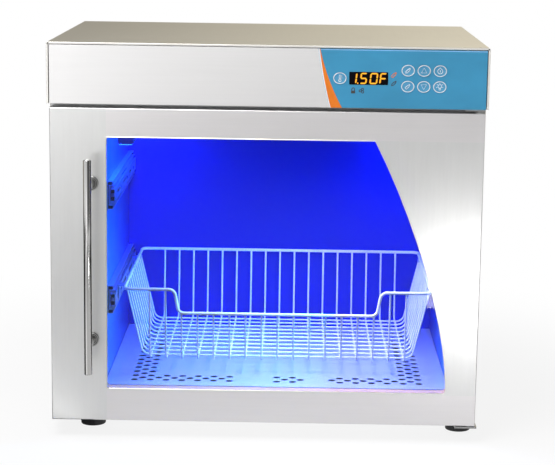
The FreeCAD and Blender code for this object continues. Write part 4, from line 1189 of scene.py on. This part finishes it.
# What steel sees on the floor: its level by distance from a place under the door, in shares of the far edge
FLOOR_START = (0, -0.25)
FLOOR_REACH = 6.0
FLOOR_STEPS = [(0.0, 0.74), (0.05, 0.68), (0.15, 0.50), (0.3, 0.42), (0.5, 0.55), (0.75, 0.85), (0.95, 1.0)]
# The same by direction from the handle, from square left to square right of it
HANDLE_FOOT = (-0.2645, -0.265)
FLOOR_SECTORS = [(0.0, 0.05), (0.05, 0.1), (0.12, 0.6), (0.2, 1.9), (0.3, 1.9), (0.4, 1.0), (1.0, 1.0)]
# Darker places on it: where, how far in and out they fade, and how dark they are
FLOOR_SHADES = [
    ((-1.9, -0.2), 0.5, 1.4, 0.15),
    ((1.9, -0.2), 0.5, 1.4, 0.15),
    ((0.75, -3.6), 0.5, 1.9, 0.1),
]

# What steel sees of the room by the way it looks: two levels, and where on that axis they are reached
ROOM_UPWARD = (1.0, 0.35, 0.14, 0.8)
ROOM_AHEAD = (1.05, 0.12, 0.0, 0.32)
ROOM_BEHIND = (0.28, 1.12, -0.12, 0.12)
ROOM_HALVES = (0.0, 1.0, -0.1, 0.1)
ROOM_WARMTH = (1, 0.91, 0.69)
ROOM_LIGHT = (0.97, 0.98, 1.0)
ROOM_LEVEL = 0.3


def make_camera():
    """The camera that took the photograph."""
    lens = bpy.data.cameras.new("camera")
    lens.sensor_width = SENSOR_WIDTH
    lens.lens = FOCAL_PIXELS / FRAME_WIDTH * SENSOR_WIDTH
    camera = bpy.data.objects.new("camera", lens)
    bpy.context.scene.collection.objects.link(camera)
    level = Matrix.Rotation(CAMERA_YAW, 4, "Z") @ Matrix.Rotation(math.pi / 2 - CAMERA_PITCH, 4, "X")
    turn = level @ Matrix.Rotation(CAMERA_ROLL, 4, "Z")
    camera.matrix_world = Matrix.Translation(CAMERA_PLACE) @ turn
    bpy.context.scene.camera = camera


def make_stage():
    """A wide pale floor, white to the eye, that keeps the cabinet's shadow."""
    mesh = bpy.data.meshes.new("floor")
    bm = bmesh.new()
    bmesh.ops.create_grid(bm, x_segments=1, y_segments=1, size=FLOOR_SIZE)
    bm.to_mesh(mesh)
    bm.free()
    floor = bpy.data.objects.new("floor", mesh)
    bpy.context.scene.collection.objects.link(floor)
    finish = Finish("pale_floor", (0.86, 0.86, 0.87), 0.8)
    cloud = finish.noise(60.0, detail=3.0)
    finish.set(Base_Color=finish.blend(cloud, (0.85, 0.85, 0.86), (0.88, 0.88, 0.89)))

    distance = finish.ramp(finish.away(*FLOOR_START), 0.0, 1.0, 0.0, FLOOR_REACH)
    level = finish.steps(distance, FLOOR_STEPS)
    for place, inner, outer, dark in FLOOR_SHADES:
        level = finish.times(level, finish.ramp(finish.away(*place), dark, 1.0, inner, outer, True))
    level = finish.times(level, finish.steps(finish.heading(*HANDLE_FOOT), FLOOR_SECTORS))
    ray = finish.add("LightPath").outputs
    cover = finish.ramp(finish.away(0, 0), *FLOOR_COVER, True)
    finish.show(finish.shader.outputs[0], [
        (finish.times(ray["Is Camera Ray"], cover), finish.add("Emission").outputs[0]),
        (ray["Is Glossy Ray"], finish.add("Emission", (1, 1, 1), level).outputs[0]),
    ])
    mesh.materials.append(finish.material)


def make_world():
    """A white room to the eye, which lights things dimly.

    Steel sees it darker overhead, in front to the right and behind to the left, and warmer behind.
    """
    world = bpy.data.worlds.new("studio")
    room = Recipe(world, "World Output")
    look = room.add("SeparateXYZ", room.add("TexCoord").outputs["Generated"]).outputs
    behind = room.ramp(look["Y"], *ROOM_HALVES)
    sideways = room.ramp(behind, room.ramp(look["X"], *ROOM_AHEAD), room.ramp(look["X"], *ROOM_BEHIND))
    level = room.times(room.ramp(look["Z"], *ROOM_UPWARD), sideways)
    warmth = room.blend(behind, (1, 1, 1), ROOM_WARMTH)
    ray = room.add("LightPath").outputs
    backdrop = room.fill(room.tree.nodes["Background"], Color=(1, 1, 1))
    room.show(backdrop.outputs[0], [
        (ray["Is Glossy Ray"], room.add("Background", warmth, level).outputs[0]),
        (ray["Is Diffuse Ray"], room.add("Background", ROOM_LIGHT, ROOM_LEVEL).outputs[0]),
    ])
    bpy.context.scene.world = world


def make_lamps():
    """Area lamps, which the camera doesn't see."""
    for name, (place, aim, size, power, colour, mirrored) in LAMPS.items():
        lamp = bpy.data.lights.new(name, "AREA")
        lamp.shape = "RECTANGLE"
        lamp.size, lamp.size_y = size
        lamp.energy = power
        lamp.color = colour
        holder = bpy.data.objects.new(name, lamp)
        bpy.context.scene.collection.objects.link(holder)
        holder.location = place
        holder.rotation_euler = (Vector(aim) - Vector(place)).to_track_quat("-Z", "Y").to_euler()
        holder.visible_camera = False
        holder.visible_glossy = mirrored
        holder.visible_transmission = mirrored


finish_nodes()
casing()
screws()
gland()
printing()
display()
keys()
door()
window_bead()
handle()
chamber()
# One CAD node holds the end stops of both pairs
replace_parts(slide_trim("upper"), "slide_end_stops")
slide_trim("lower")
basket_welds()

make_camera()
make_stage()
make_world()
make_lamps()
bpy.context.scene.view_settings.view_transform = "Standard"
